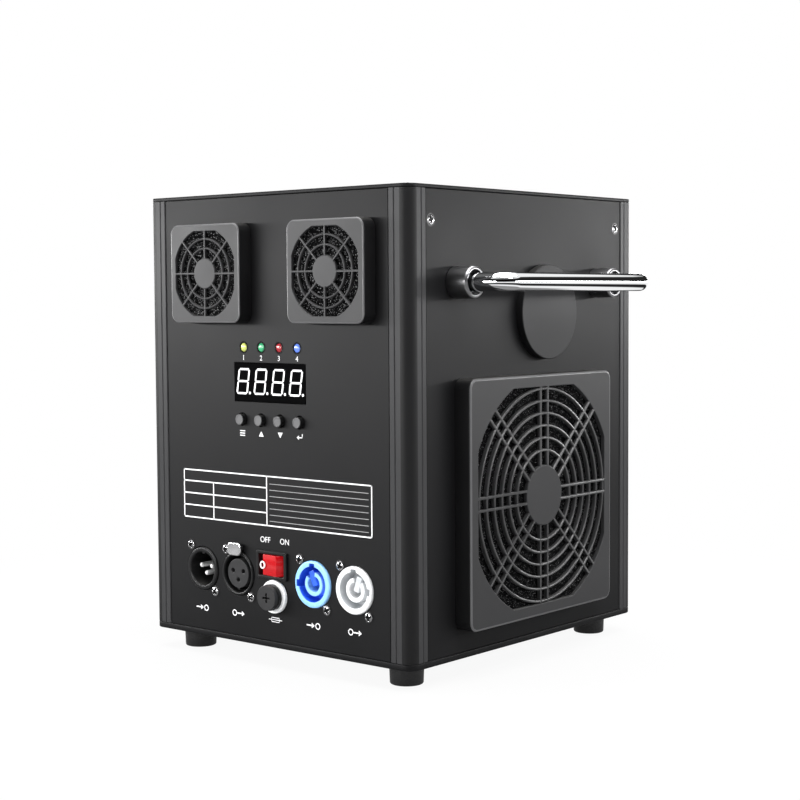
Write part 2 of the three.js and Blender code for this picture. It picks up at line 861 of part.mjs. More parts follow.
function pushButton() {
  const top = panelFace + buttonProud;
  const collarTop = panelBack - runningGap;
  const collarFoot = collarTop - buttonCollarThickness;
  const foot = keyTop + buttonTravel + runningGap;
  return turned([
    [0, foot],
    [buttonStemRadius, foot],
    [buttonStemRadius, collarFoot],
    [buttonRadius + buttonCollar, collarFoot],
    [buttonRadius + buttonCollar, collarTop],
    [buttonRadius, collarTop],
    [buttonRadius, top - buttonRounding],
    [buttonRadius - buttonRounding, top],
    [0, top],
  ], tinySides);
}

function addControls() {
  add(front, "main_board", mainBoard(), finishes.board);
  add(front, "display_window", displayWindow(), finishes.window);
  for (const [i, x] of lampPlaces.entries()) {
    const finish = { color: lampColours[i % lampColours.length], roughness: 0.2, metalness: 0 };
    add(front, `status_lamp_${i + 1}`, statusLamp(), finish, x, lampLevel, 0);
  }
  for (const [i, x] of buttonPlaces.entries()) {
    add(front, `button_${i + 1}`, pushButton(), finishes.blackPlastic, x, buttonLevel, 0);
  }
}

// Round sockets
// A socket's flange lies behind the panel and its ring stands in a round hole.

function socketBody(radius, proud) {
  const barrel = turned([
    [0, -socketDepth],
    [radius, -socketDepth],
    [radius, proud],
    [0, proud],
  ]);
  const flangeBack = backSeat - socketFlangeThickness;
  const flange = block(socketFlangeWidth, socketFlangeHeight, flangeBack, backSeat);
  const terminalEnd = -socketDepth - terminalDepth;
  const terminals = block(terminalWidth, terminalHeight, terminalEnd, -socketDepth + overrun);
  return join(barrel, flange, terminals);
}

const dataInBore = socketRadius - dataInWall;
const dataOutBore = socketRadius - dataOutWall;
const dataOutInsert = dataOutBore - dataOutMoat;
const contactCircle = dataOutInsert * contactShare;
const contactPlaces = (side) => [[-contactCircle, 0], [contactCircle, 0], [0, side * contactCircle]];

function dataInSocket() {
  const floor = socketProud - dataInBoreDepth;
  const bore = rod(dataInBore, floor, socketProud + overrun);
  const pins = contactPlaces(-1).map(([x, y]) =>
    rod(contactRadius, floor - overrun, floor + dataInPinLength, x, y, tinySides));
  return join(cut(socketBody(socketRadius, socketProud), bore), ...pins);
}

function dataOutSocket() {
  const floor = socketProud - dataOutBoreDepth;
  const insertTop = socketProud - dataOutInsertInset;
  const moat = cut(
    rod(dataOutBore, floor, socketProud + overrun),
    rod(dataOutInsert, floor - overrun, insertTop),
  );
  const contacts = contactPlaces(1).map(([x, y]) =>
    rod(contactRadius, insertTop - dataOutHoleDepth, insertTop + overrun, x, y, tinySides));
  const wayLow = latchStemLow - runningGap;
  const wayTop = socketFlangeHeight / 2 + overrun;
  const wayWidth = latchStemWidth + 2 * runningGap;
  const wayHeight = wayTop - wayLow;
  const stemWay = block(wayWidth, wayHeight, -socketDepth, socketProud, 0, wayLow + wayHeight / 2);
  return cut(socketBody(socketRadius, socketProud), moat, ...contacts, stemWay);
}

// The release tab of the data output: a plate over the ring, on a stem through the panel.
function releaseLatch() {
  const back = socketProud + latchTravel + runningGap;
  const front = back + latchThickness;
  const low = socketRadius - latchOverlap;
  const plate = block(latchWidth, latchHeight, back, front, 0, low + latchHeight / 2);
  const middle = (latchStemLow + latchStemTop) / 2;
  const stem = block(latchStemWidth, latchStemHeight, -latchStemDepth, front, 0, middle);
  return join(plate, stem);
}

const powerBore = powerSocketRadius - powerSocketWall;
const powerCollar = powerBore - powerCollarGap;
const powerCollarBore = powerCollar - powerCollarWall;

// A locking power socket: a keyed round recess round a collar that is open to one side.
function powerSocket(keyQuarters) {
  const floor = powerSocketProud - powerBoreDepth;
  const top = powerSocketProud + overrun;
  const keyWays = keyQuarters.map((quarter) => {
    const middle = powerBore + (powerKeyDepth - overrun) / 2;
    const way = block(powerKeyDepth + overrun, powerKeyWidth, floor, top, middle, 0);
    return way.rotateZ((quarter * Math.PI) / 2);
  });
  const shell = cut(
    socketBody(powerSocketRadius, powerSocketProud),
    rod(powerBore, floor, top),
    ...keyWays,
  );
  const collarTop = powerSocketProud - powerCollarInset;
  const collar = prism(circle(powerCollar), floor - overrun, collarTop, [circle(powerCollarBore)]);
  const slotLength = powerCollar + overrun;
  const slot = block(slotLength, powerCollarSlot, floor, collarTop + overrun, slotLength / 2, 0);
  return join(shell, cut(collar, slot.rotateZ(Math.PI / 4)));
}

function addSockets() {
  const place = (name, socket, finish, x) => add(front, name, socket, finish, x, socketLevel, 0);
  place("data_in_socket", dataInSocket(), finishes.blackPlastic, dataInMiddle);
  place("data_out_socket", dataOutSocket(), finishes.blackPlastic, dataOutMiddle);
  place("data_out_latch", releaseLatch(), finishes.steel, dataOutMiddle);
  place("power_in_socket", powerSocket([1, 2]), finishes.blue, powerInMiddle);
  place("power_out_socket", powerSocket([1, 0]), finishes.white, powerOutMiddle);
}

// Rocker switch: the rocker turns about an upright pin in the side walls of its well.

function switchBody() {
  const bezelTop = panelFace + bezelProud;
  const body = join(
    block(bezelWidth, bezelHeight, frontSeat, bezelTop),
    block(switchBodyWidth, switchBodyHeight, -switchDepth, bezelTop - bezelProud / 2),
  );
  const well = block(wellWidth, wellHeight, bezelTop - wellDepth, bezelTop + overrun);
  const pinReach = wellHeight / 2 + wellWall + overrun;
  const pinHole = rod(turningHole(rockerPinRadius), -pinReach, pinReach, 0, 0, tinySides);
  pinHole.rotateX(Math.PI / 2).translate(0, 0, -rockerPivotDepth);
  return cut(body, well, pinHole);
}

function switchRocker() {
  const half = rockerWidth / 2;
  const foot = half - rockerSkirtTaper;
  const profile = [
    [-half, rockerEndRise],
    [-half, 0],
    [-foot, -rockerSkirtDrop],
    [foot, -rockerSkirtDrop],
    [half, 0],
    [half, rockerEndRise],
    [0, rockerMiddleRise],
  ];
  const pinReach = wellHeight / 2 + wellWall - runningGap;
  return join(
    prism(profile, -rockerHeight / 2, rockerHeight / 2),
    rod(rockerPinRadius, -pinReach, pinReach, 0, 0, tinySides),
  ).rotateX(Math.PI / 2);
}

function addSwitch() {
  add(front, "switch_body", switchBody(), finishes.blackPlastic, switchMiddle, switchLevel, 0);
  const depth = -rockerPivotDepth;
  const rocker = add(front, "switch_rocker", switchRocker(), finishes.red, switchMiddle, switchLevel, depth);
  rocker.rotation.y = -rockerTilt;
}

// Fuse holder, and the cap that draws the fuse out with it.

function fuseHolder() {
  const top = frontSeat + fuseFlangeThickness;
  return turned([
    [0, -fuseBodyDepth],
    [fuseBodyRadius, -fuseBodyDepth],
    [fuseBodyRadius, frontSeat],
    [fuseFlangeRadius, frontSeat],
    [fuseFlangeRadius, top - fuseCapStep],
    [fuseFlangeRadius - fuseCapStep, top],
    [fuseBore, top],
    [fuseBore, fuseEndWall - fuseBodyDepth],
    [0, fuseEndWall - fuseBodyDepth],
  ]);
}

function fuseCap() {
  const foot = frontSeat + fuseFlangeThickness + runningGap;
  const top = foot + fuseCapHeight;
  const step = foot + fuseCapHeight / 2;
  const barrelEnd = foot - fuseBarrelLength;
  const cap = turned([
    [0, barrelEnd - fuseLength],
    [fuseRadius, barrelEnd - fuseLength],
    [fuseRadius, barrelEnd],
    [fuseBore - runningGap, barrelEnd],
    [fuseBore - runningGap, foot],
    [fuseCapRadius, foot],
    [fuseCapRadius, step],
    [fuseCapRadius - fuseCapStep, step + fuseCapStep],
    [fuseCapRadius - fuseCapStep, top - fuseCapStep],
    [fuseCapRadius - 2 * fuseCapStep, top],
    [0, top],
  ]);
  const slots = range(2).map((turn) => {
    const slot = block(fuseCapSlotLength, fuseCapSlotWidth, top - fuseCapSlotDepth, top + overrun);
    return slot.rotateZ((turn * Math.PI) / 2);
  });
  return cut(cap, ...slots);
}

function addFuse() {
  add(front, "fuse_holder", fuseHolder(), finishes.white, fuseMiddle, fuseLevel, 0);
  add(front, "fuse_cap", fuseCap(), finishes.blackPlastic, fuseMiddle, fuseLevel, 0);
}

// Handles: a bent bar whose ends stand in two bosses on the panel.

const bossTop = frontSeat + bossLength;
const bossFloor = bossTop - handleSocketDepth;
const handleLevel = bodyHeight - handleDrop;

// The round cover fills the height between the large guard and its own drop from the top.
const sideDiscFoot = largeFanLevel + guardSide(largeFan, largeGuard) / 2 + sideDiscGap;
const sideDiscRadius = (bodyHeight - sideDiscDrop - sideDiscFoot) / 2;
const sideDiscLevel = sideDiscFoot + sideDiscRadius;

// The bar's middle line: out of one boss, round a bend, along the grip and back. Its steps fall
// on the ends and round the bends, so the straights need none.
class HandleLine extends THREE.Curve {
  constructor() {
    super();
    const half = handlePitch / 2;
    const arc = (side) => range(bendSteps + 1).map((step) => {
      const angle = ((side < 0 ? step : bendSteps - step) / bendSteps) * (Math.PI / 2);
      const x = half - handleBend * (1 - Math.cos(angle));
      return new THREE.Vector3(side * x, 0, handleReach - handleBend * (1 - Math.sin(angle)));
    });
    const end = (side) => new THREE.Vector3(side * half, 0, bossFloor + runningGap);
    this.corners = [end(-1), ...arc(-1), ...arc(1), end(1)];
  }

  getPoint(share, target = new THREE.Vector3()) {
    const place = share * (this.corners.length - 1);
    const i = Math.min(Math.floor(place), this.corners.length - 2);
    return target.lerpVectors(this.corners[i], this.corners[i + 1], place - i);
  }

  getPointAt(share, target) {
    return this.getPoint(share, target);
  }

  getTangentAt(share, target) {
    return this.getTangent(share, target);
  }
}

function handleBar() {
  const line = new HandleLine();
  return new THREE.ExtrudeGeometry(new THREE.Shape(pathOf(circle(handleBarRadius, tinySides))), {
    steps: line.corners.length - 1,
    extrudePath: line,
  });
}

function handleBoss() {
  const bore = handleBarRadius + seatGap;
  return turned([
    [0, frontSeat],
    [bossRadius, frontSeat],
    [bossRadius, bossTop - bossRounding],
    [bossRadius - bossRounding, bossTop],
    [bore, bossTop],
    [bore, bossFloor],
    [0, bossFloor],
  ]);
}

function addHandles() {
  for (const [name, side] of [["right", right], ["left", left]]) {
    const middle = name === "right" ? handleMiddle : -handleMiddle;
    add(side, `${name}_handle_bar`, handleBar(), finishes.chrome, middle, handleLevel, 0);
    const ends = centred(2, handlePitch).map((x) => x + middle);
    const near = name === "right" ? ends : [...ends].reverse();
    add(side, `${name}_handle_boss_front`, handleBoss(), finishes.blackChrome, near[0], handleLevel, 0);
    add(side, `${name}_handle_boss_rear`, handleBoss(), finishes.blackChrome, near[1], handleLevel, 0);
  }
  const disc = turned([
    [0, frontSeat],
    [sideDiscRadius, frontSeat],
    [sideDiscRadius, frontSeat + sideDiscThickness - sideDiscEdge],
    [sideDiscRadius - sideDiscEdge, frontSeat + sideDiscThickness],
    [0, frontSeat + sideDiscThickness],
  ], ringSides);
  add(right, "side_disc", disc, finishes.blackPlastic, sideDiscMiddle, sideDiscLevel, 0);
}

// Nozzle, heating core, hopper and lid

const nozzleFoot = footHeight + nozzleStart;
const feedLevel = nozzleFoot + feedRise;
const feedDirection = Math.atan2(hopperBack, hopperAcross);
const feedReach = Math.hypot(hopperAcross, hopperBack);
const hopperRimTop = coverSeat + hopperRimThickness;
const lidFoot = hopperRimTop + seatGap;
const hingeLevel = lidFoot + lidThickness / 2;

function nozzle() {
  const outer = nozzleBore + nozzleWall;
  const top = bodyTop + nozzleRimHeight;
  const tube = turned([
    [nozzleBore, nozzleFoot],
    [outer, nozzleFoot],
    [outer, coverSeat],
    [nozzleRimRadius, coverSeat],
    [nozzleRimRadius, top - nozzleRimTaper],
    [nozzleRimRadius - nozzleRimTaper, top],
    [nozzleBore + nozzleRimTaper, top],
    [nozzleBore, top - nozzleRimTaper],
    [nozzleBore, nozzleFoot],
  ]);
  const inlet = rod(feedBore, 0, outer + overrun);
  inlet.rotateY(Math.PI / 2).rotateZ(feedDirection).translate(0, 0, feedLevel);
  return cut(tube, inlet);
}

function heatingCore() {
  const bore = nozzleBore + nozzleWall + seatGap;
  const sleeve = bore + coreSleeve;
  const foot = feedLevel + feedBore + feedWall + coreLift;
  const top = coverUnderside - coreDrop;
  const pitch = (top - foot) / coreBands;
  const bands = range(coreBands).flatMap((band) => {
    const middle = foot + (band + 1 / 2) * pitch;
    const [low, high] = [middle - (pitch * coreBandShare) / 2, middle + (pitch * coreBandShare) / 2];
    return [
      [sleeve, low],
      [sleeve + coreBandDepth, low],
      [sleeve + coreBandDepth, high],
      [sleeve, high],
    ];
  });
  return turned([
    [bore, foot],
    [sleeve, foot],
    ...bands,
    [sleeve, top],
    [bore, top],
    [bore, foot],
  ]);
}

// An upright arm with a round head, as seen along X: it reaches from Y = root to the hinge line.
function hingeArm(root, low, high, xLow, xHigh) {
  const head = rod(hingeRadius, xLow, xHigh, 0, 0, tinySides);
  head.rotateY(Math.PI / 2).translate(0, hingeReach, hingeLevel);
  const arm = block(xHigh - xLow, hingeReach - root, low, high, (xLow + xHigh) / 2, (hingeReach + root) / 2);
  return join(head, arm);
}

function hingePin(radius, reach) {
  const pin = rod(radius, -reach, reach, 0, 0, tinySides);
  return pin.rotateY(Math.PI / 2).translate(0, hingeReach, hingeLevel);
}

function hopper() {
  const outer = hopperBore + hopperWall;
  const coneTop = bodyTop - hopperStraight;
  const spoutFoot = feedLevel + feedInletHeight + runningGap;
  const coneFoot = spoutFoot + spoutLength;
  const bin = turned([
    [spoutBore, spoutFoot],
    [spoutBore + hopperWall, spoutFoot],
    [spoutBore + hopperWall, coneFoot],
    [outer, coneTop],
    [outer, coverSeat],
    [hopperRimRadius, coverSeat],
    [hopperRimRadius, hopperRimTop],
    [hopperBore, hopperRimTop],
    [hopperBore, coneTop],
    [spoutBore, coneFoot],
    [spoutBore, spoutFoot],
  ]);
  const lugs = centred(2, hingeWidth + 2 * runningGap + hingeLugWidth).map((x) => {
    const [low, high] = [x - hingeLugWidth / 2, x + hingeLugWidth / 2];
    return hingeArm(lidRadius + runningGap, coverSeat, hingeLevel, low, high);
  });
  const reach = hingeWidth / 2 + 2 * hingeLugWidth;
  return cut(join(bin, ...lugs), hingePin(turningHole(hingePinRadius), reach));
}

function hopperLid() {
  const knobFoot = lidFoot + lidThickness;
  const knobTop = bodyTop + fittingsHeight;
  const plug = hopperBore - lidPlugInset;
  const plate = turned([
    [0, lidFoot],
    [plug - lidPlugWall, lidFoot],
    [plug - lidPlugWall, lidFoot - lidPlugDepth],
    [plug, lidFoot - lidPlugDepth],
    [plug, lidFoot],
    [lidRadius, lidFoot],
    [lidRadius, knobFoot - lidEdge],
    [lidRadius - lidEdge, knobFoot],
    [knobWaist, knobFoot],
    [knobWaist, knobTop - 2 * knobRim],
    [knobRadius, knobTop - knobRim],
    [knobRadius - knobRim / 2, knobTop],
    [0, knobTop],
  ]);
  const half = hingeWidth / 2;
  const knuckle = hingeArm(lidRadius - lidPlugWall, lidFoot, knobFoot, -half, half);
  return join(plate, knuckle, hingePin(hingePinRadius, half + runningGap + hingeLugWidth));
}

// Feed tube and screw: a frame at the hopper's axis whose X points away from the nozzle.

const tubeStart = nozzleBore + nozzleWall + runningGap - feedReach;
const motorStart = feedOverhang + feedEndWall;

const alongFeed = (radius, low, high, sides = roundSides) =>
  rod(radius, low, high, 0, 0, sides).rotateY(Math.PI / 2);

function feedUnit() {
  const motorEnd = motorStart + motorGearLength;
  const body = join(
    alongFeed(feedBore + feedWall, tubeStart, motorStart),
    rod(feedInletRadius, 0, feedInletHeight),
    alongFeed(motorGearRadius, motorStart, motorEnd),
    alongFeed(motorCanRadius, motorEnd - overrun, motorEnd + motorCanLength),
  );
  return cut(
    body,
    alongFeed(feedBore, tubeStart - overrun, feedOverhang),
    alongFeed(turningHole(screwShaftRadius), feedOverhang - overrun, motorStart + screwStub, tinySides),
    rod(spoutBore, 0, feedInletHeight + overrun),
  );
}

// A helical flight on a shaft, made as one twisted extrusion of the shaft with its fin.
function feedScrew() {
  const start = tubeStart + screwEndGap;
  const length = feedOverhang - runningGap - start;
  const turns = length / screwLead;
  const tip = feedBore - runningGap;
  const fin = screwFlightThickness / 2;
  const section = circle(screwShaftRadius, tinySides).slice(0, -1);
  const shape = new THREE.Shape(pathOf([...section, [tip, -fin], [tip, fin]]));
  const flight = new THREE.ExtrudeGeometry(shape, {
    depth: length,
    steps: Math.ceil(turns * screwStepsPerTurn),
    bevelEnabled: false,
  });
  const place = flight.attributes.position;
  for (const i of range(place.count)) {
    const turn = new THREE.Vector2(place.getX(i), place.getY(i));
    turn.rotateAround(new THREE.Vector2(), (place.getZ(i) / screwLead) * 2 * Math.PI);
    place.setXY(i, turn.x, turn.y);
  }
  const stub = rod(screwShaftRadius, length - overrun, length + feedEndWall + screwStub, 0, 0, tinySides);
  return join(flight, stub).translate(0, 0, start).rotateY(Math.PI / 2);
}

function addFeed() {
  const feed = new THREE.Group();
  feed.position.set(hopperAcross, hopperBack, feedLevel);
  feed.rotation.z = feedDirection;
  machine.add(feed);
  add(machine, "nozzle", nozzle(), finishes.steel);
  add(machine, "heating_core", heatingCore(), finishes.ceramic);
  add(machine, "hopper", hopper(), finishes.steel, hopperAcross, hopperBack, 0);
  add(machine, "hopper_lid", hopperLid(), finishes.paint, hopperAcross, hopperBack, 0);
  add(feed, "feed_unit", feedUnit(), finishes.aluminium);
  add(feed, "feed_screw", feedScrew(), finishes.steel);
}

// Blower: a scroll whose duct rises to the nozzle's tube. Z is the impeller's axis.

const scrollMiddle = blowerDuctWidth / 2 - blowerScrollEnd;
const blowerLevel = baseThickness + seatGap + blowerFoot + blowerWall + blowerScrollEnd;
const ductTop = nozzleFoot - runningGap - footHeight - blowerLevel;

// The scroll's outline, grown by a margin: from the tongue round to the duct's outer wall.
function scrollOutline(margin, top) {
  const sweep = 2 * Math.PI - blowerTongueAngle;
  const spiral = range(scrollSteps + 1).map((step) => {
    const share = step / scrollSteps;
    const angle = blowerTongueAngle + share * sweep;
    const radius = blowerScrollStart + share * (blowerScrollEnd - blowerScrollStart) + margin;
    return [radius * Math.cos(angle), radius * Math.sin(angle)];
  });
  const outer = blowerScrollEnd + margin;
  const inner = blowerScrollEnd - blowerDuctWidth - margin;
  return [...spiral, [outer, top], [inner, top]];
}

function blowerHousing() {
  const half = blowerThickness / 2;
  const inside = half - blowerWall;
  const drop = blowerFoot + blowerWall + blowerScrollEnd;
  const shell = join(
    prism(scrollOutline(blowerWall, ductTop), -half, half),
    block(blowerFootWidth, drop, -half, half, 0, -drop / 2),
    rod(blowerMotorRadius, -half - blowerMotorLength, 0),
  );
  return cut(
    shell,
    prism(scrollOutline(0, ductTop + overrun), -inside, inside),
    rod(blowerInletRadius, 0, half + overrun),
    rod(turningHole(impellerShaftRadius), -half - blowerMotorLength / 2, 0, 0, 0, tinySides),
  );
}

// The impeller: leaning blades between a back plate and a front ring, on a hub with a shaft.
function impeller() {
  const back = impellerSideGap + blowerWall - blowerThickness / 2;
  const front = -back;
  const inner = impellerRadius - impellerBladeDepth;
  const outer = impellerRadius * Math.cos(Math.PI / roundSides) - impellerBladeThickness / 2;
  const half = impellerBladeThickness / 2;
  const profile = [
    [inner, -half],
    [outer, impellerBladeLean - half],
    [outer, impellerBladeLean + half],
    [inner, half],
  ];
  const blade = prism(profile, back, front);
  const blades = range(impellerBlades).map((i) =>
    blade.clone().rotateZ((i * 2 * Math.PI) / impellerBlades));
  const shaftEnd = -blowerThickness / 2 - blowerMotorLength / 2 + runningGap;
  return join(
    ...blades,
    rod(impellerRadius, back, back + impellerRing),
    prism(circle(impellerRadius), front - impellerRing, front, [circle(inner)]),
    rod(impellerHubRadius, back, 0, 0, 0, tinySides),
    rod(impellerShaftRadius, shaftEnd, 0, 0, 0, tinySides),
  );
}

function addBlower() {
  const blower = sideFrame(0, 0);
  add(blower, "blower_housing", blowerHousing(), finishes.blackPlastic, scrollMiddle, blowerLevel, 0);
  add(blower, "blower_impeller", impeller(), finishes.blackPlastic, scrollMiddle, blowerLevel, 0);
}

addPlates();
addPosts();
addFeet();
addPanels();
addFans();
addControls();
addSockets();
addSwitch();
addFuse();
addHandles();
addFeed();
addBlower();

export default machine;
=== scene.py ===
import json
import math

import bpy
import numpy as np
from mathutils import Matrix


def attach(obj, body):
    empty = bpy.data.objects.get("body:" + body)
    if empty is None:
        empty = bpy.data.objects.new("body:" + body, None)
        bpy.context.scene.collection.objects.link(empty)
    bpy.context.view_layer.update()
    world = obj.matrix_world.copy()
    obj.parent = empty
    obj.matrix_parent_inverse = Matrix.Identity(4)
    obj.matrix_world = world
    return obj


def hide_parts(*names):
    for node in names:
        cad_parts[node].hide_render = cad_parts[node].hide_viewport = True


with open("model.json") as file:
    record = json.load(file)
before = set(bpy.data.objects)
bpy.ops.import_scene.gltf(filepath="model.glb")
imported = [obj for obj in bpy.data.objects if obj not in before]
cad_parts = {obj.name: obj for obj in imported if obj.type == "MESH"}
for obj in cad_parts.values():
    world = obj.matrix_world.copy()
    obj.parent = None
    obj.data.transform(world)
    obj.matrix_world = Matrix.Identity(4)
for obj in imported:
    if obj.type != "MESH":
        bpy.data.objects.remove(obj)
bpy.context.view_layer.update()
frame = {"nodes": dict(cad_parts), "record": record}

# Sizes in millimetres, as in the part's source.
MM = 0.001
WIDTH, DEPTH, CORNER = 186, 200, 6
SHIFT = 4.2
BASE_FOOT, BASE_TOP = 10.8, 14.0
COVER_FOOT, BODY_TOP = 246.2, 248.0
SEAT, GAP, SINK = 0.2, 0.3, 0.05
PANEL_FACE, PANEL_BACK = -0.4, -1.9
FRONT_SEAT, BACK_SEAT = -0.2, -2.1
PANEL_HEIGHT, PANEL_MIDDLE = 231.8, 119.3
POST_SIDE, JOINT = 13.1, 0.4
FOOT_INSET = 18

# Each side's own frame: X to the right as seen from outside, Y up from the base plate's
# underside, Z out of the corner posts' flats. The plan's frame has Z up from the ground.
SIDES = {
    "front": ((1, 0, 0), (0, 0, 1), (0, -1, 0), (0, SHIFT - DEPTH / 2, BASE_FOOT)),
    "right": ((0, 1, 0), (0, 0, 1), (1, 0, 0), (WIDTH / 2, SHIFT, BASE_FOOT)),
    "rear": ((-1, 0, 0), (0, 0, 1), (0, 1, 0), (0, SHIFT + DEPTH / 2, BASE_FOOT)),
    "left": ((0, -1, 0), (0, 0, 1), (-1, 0, 0), (-WIDTH / 2, SHIFT, BASE_FOOT)),
    "plan": ((1, 0, 0), (0, 1, 0), (0, 0, 1), (0, SHIFT, 0)),
}


def to_world(points, side):
    """Each point is its side's origin plus its three coordinates along the side's axes."""
    *axes, origin = SIDES[side]
    return points @ np.array(axes, float) + np.array(origin, float)


# Shells: an array of points and a list of face arrays, one array for each count of corners


def loft(sections, closed=False):
    """A skin over rows of points. Row i joins row i + 1 all round, the last row joins the first
    when closed, and otherwise a flat face ends the first and the last row."""
    rows, columns = sections.shape[:2]
    i, j = np.meshgrid(np.arange(rows - (not closed)), np.arange(columns), indexing="ij")
    up, on = (i + 1) % rows, (j + 1) % columns
    skin = np.stack([i, i, up, up], -1) * columns + np.stack([j, on, on, j], -1)
    faces = [skin.reshape(-1, 4)]
    if not closed:
        ring = np.arange(columns)
        faces += [ring[None, ::-1], ring[None] + (rows - 1) * columns]
    return sections.reshape(-1, 3), faces


def circle(radius, sides=64, x=0.0, y=0.0):
    """Points at equal angles: the centre plus radius times cosine and sine."""
    angle = np.arange(sides) * 2 * np.pi / sides
    return np.stack([x + radius * np.cos(angle), y + radius * np.sin(angle)], -1)


def rounded(corners, radius, steps=6):
    """Each corner of an outline becomes an arc. Its centre lies on the corner's bisector at
    radius over the sine of half the corner's angle, and its points turn evenly between the
    two tangent points."""
    corners = np.array(corners, float)
    radii = np.broadcast_to(np.asarray(radius, float), len(corners))
    parts = []
    for corner, before, after, r in zip(corners, np.roll(corners, 1, 0), np.roll(corners, -1, 0), radii):
        if r == 0:
            parts.append(corner[None])
            continue
        a, b = before - corner, after - corner
        a, b = a / np.linalg.norm(a), b / np.linalg.norm(b)
        half = np.arccos(np.clip(a @ b, -1, 1)) / 2
        centre = corner + (a + b) / np.linalg.norm(a + b) * r / np.sin(half)
        reach = r / np.tan(half)
        start, end = (corner + a * reach - centre) / r, (corner + b * reach - centre) / r
        sweep = np.pi - 2 * half
        share = np.linspace(0, 1, steps + 1)[:, None]
        arc = (np.sin((1 - share) * sweep) * start + np.sin(share * sweep) * end) / np.sin(sweep)
        parts.append(centre + r * arc)
    return np.concatenate(parts)


def rectangle(width, height, radius=0.0, x=0.0, y=0.0, steps=6):
    """A rectangle round a centre, with rounded corners."""
    a, b = width / 2, height / 2
    return rounded([[x - a, y - b], [x + a, y - b], [x + a, y + b], [x - a, y + b]], radius, steps)


def inset(outline, distance):
    """Each point moves inwards so that both of its edges move by the distance."""
    edges = outline - np.roll(outline, 1, 0), np.roll(outline, -1, 0) - outline
    first, second = (
        np.stack([edge[:, 1], -edge[:, 0]], -1) / np.linalg.norm(edge, axis=1)[:, None] for edge in edges
    )
    spread = 1 + (first * second).sum(1)
    return outline - distance * (first + second) / np.maximum(spread, 0.2)[:, None]


def level(outline, height):
    return np.concatenate([outline, np.full((len(outline), 1), float(height))], 1)


def slab(outline, low, high, edge=0.3, foot_edge=None, steps=3):
    """An outline between two heights whose rims follow a quarter circle of the edge's radius."""
    foot_edge = edge if foot_edge is None else foot_edge
    turns = np.linspace(0, np.pi / 2, steps + 1)
    rows = [level(outline, low)]
    if foot_edge:
        inward, rise = foot_edge * (1 - np.sin(turns)), foot_edge * (1 - np.cos(turns))
        rows = [level(inset(outline, i), low + r) for i, r in zip(inward, rise)]
    if edge:
        inward, drop = edge * (1 - np.cos(turns)), edge * (1 - np.sin(turns))
        rows += [level(inset(outline, i), high - d) for i, d in zip(inward, drop)]
    else:
        rows.append(level(outline, high))
    return loft(np.array(rows))


def turned(profile, sides=64, closed=False, x=0.0, y=0.0):
    """A surface of revolution: each radius and height of the profile turned about Z."""
    profile = np.array(profile, float)
    angle = np.arange(sides) * 2 * np.pi / sides
    radius, height = profile[:, :1], np.repeat(profile[:, 1:], sides, 1)
    rows = np.stack([x + radius * np.cos(angle), y + radius * np.sin(angle), height], -1)
    return loft(rows, closed)


def ring(profile, radius=0.0, sides=64, x=0.0, y=0.0, steps=3):
    """A closed profile with rounded corners, turned about Z into a hollow ring."""
    return turned(rounded(profile, radius, steps), sides, True, x, y)


def swept(section, path, across):
    """A section carried along a path. Its first axis is across x tangent and its second is across."""
    tangent = np.gradient(path, axis=0)
    tangent /= np.linalg.norm(tangent, axis=1)[:, None]
    across = np.broadcast_to(np.array(across, float), path.shape)
    out = np.cross(across, tangent)
    return loft(path[:, None] + section[None, :, :1] * out[:, None] + section[None, :, 1:] * across[:, None])


def moved(shell, x=0.0, y=0.0, z=0.0, turn=0.0, tip=0.0):
    """Tipped about Y, then turned about Z, both in degrees, and then shifted."""
    a, b = math.radians(turn), math.radians(tip)
    about_z = np.array([[math.cos(a), math.sin(a), 0], [-math.sin(a), math.cos(a), 0], [0, 0, 1]])
    about_y = np.array([[math.cos(b), 0, -math.sin(b)], [0, 1, 0], [math.sin(b), 0, math.cos(b)]])
    return shell[0] @ about_y @ about_z + np.array([x, y, z]), shell[1]


def upright(shell):
    """The shell's Z laid along its side's Y, and its Y along -Z."""
    return shell[0] @ np.array([[1, 0, 0], [0, 0, -1], [0, 1, 0]], float), shell[1]


def from_object(made):
    """The shell of a curve or text object: its points merged to a ten-thousandth of a millimetre,
    faces that merging shut left out, and the object removed."""
    bpy.context.collection.objects.link(made)
    graph = bpy.context.evaluated_depsgraph_get()
    mesh = bpy.data.meshes.new_from_object(made.evaluated_get(graph))
    points = np.empty(len(mesh.vertices) * 3)
    mesh.vertices.foreach_get("co", points)
    points = points.reshape(-1, 3)
    corners = np.empty(len(mesh.loops), int)
    mesh.loops.foreach_get("vertex_index", corners)
    starts = np.empty(len(mesh.polygons), int)
    mesh.polygons.foreach_get("loop_start", starts)
    counts = np.diff(np.append(starts, len(corners)))
    _, first, same = np.unique(np.round(points, 4), axis=0, return_index=True, return_inverse=True)
    corners = same.ravel()[corners]
    faces = []
    for count in (3, 4):
        group = corners[starts[counts == count][:, None] + np.arange(count)]
        ordered = np.sort(group, 1)
        faces.append(group[(np.diff(ordered, axis=1) > 0).all(1)])
    data = made.data
    bpy.data.objects.remove(made)
    bpy.data.curves.remove(data)
    bpy.data.meshes.remove(mesh)
    return points[first], faces


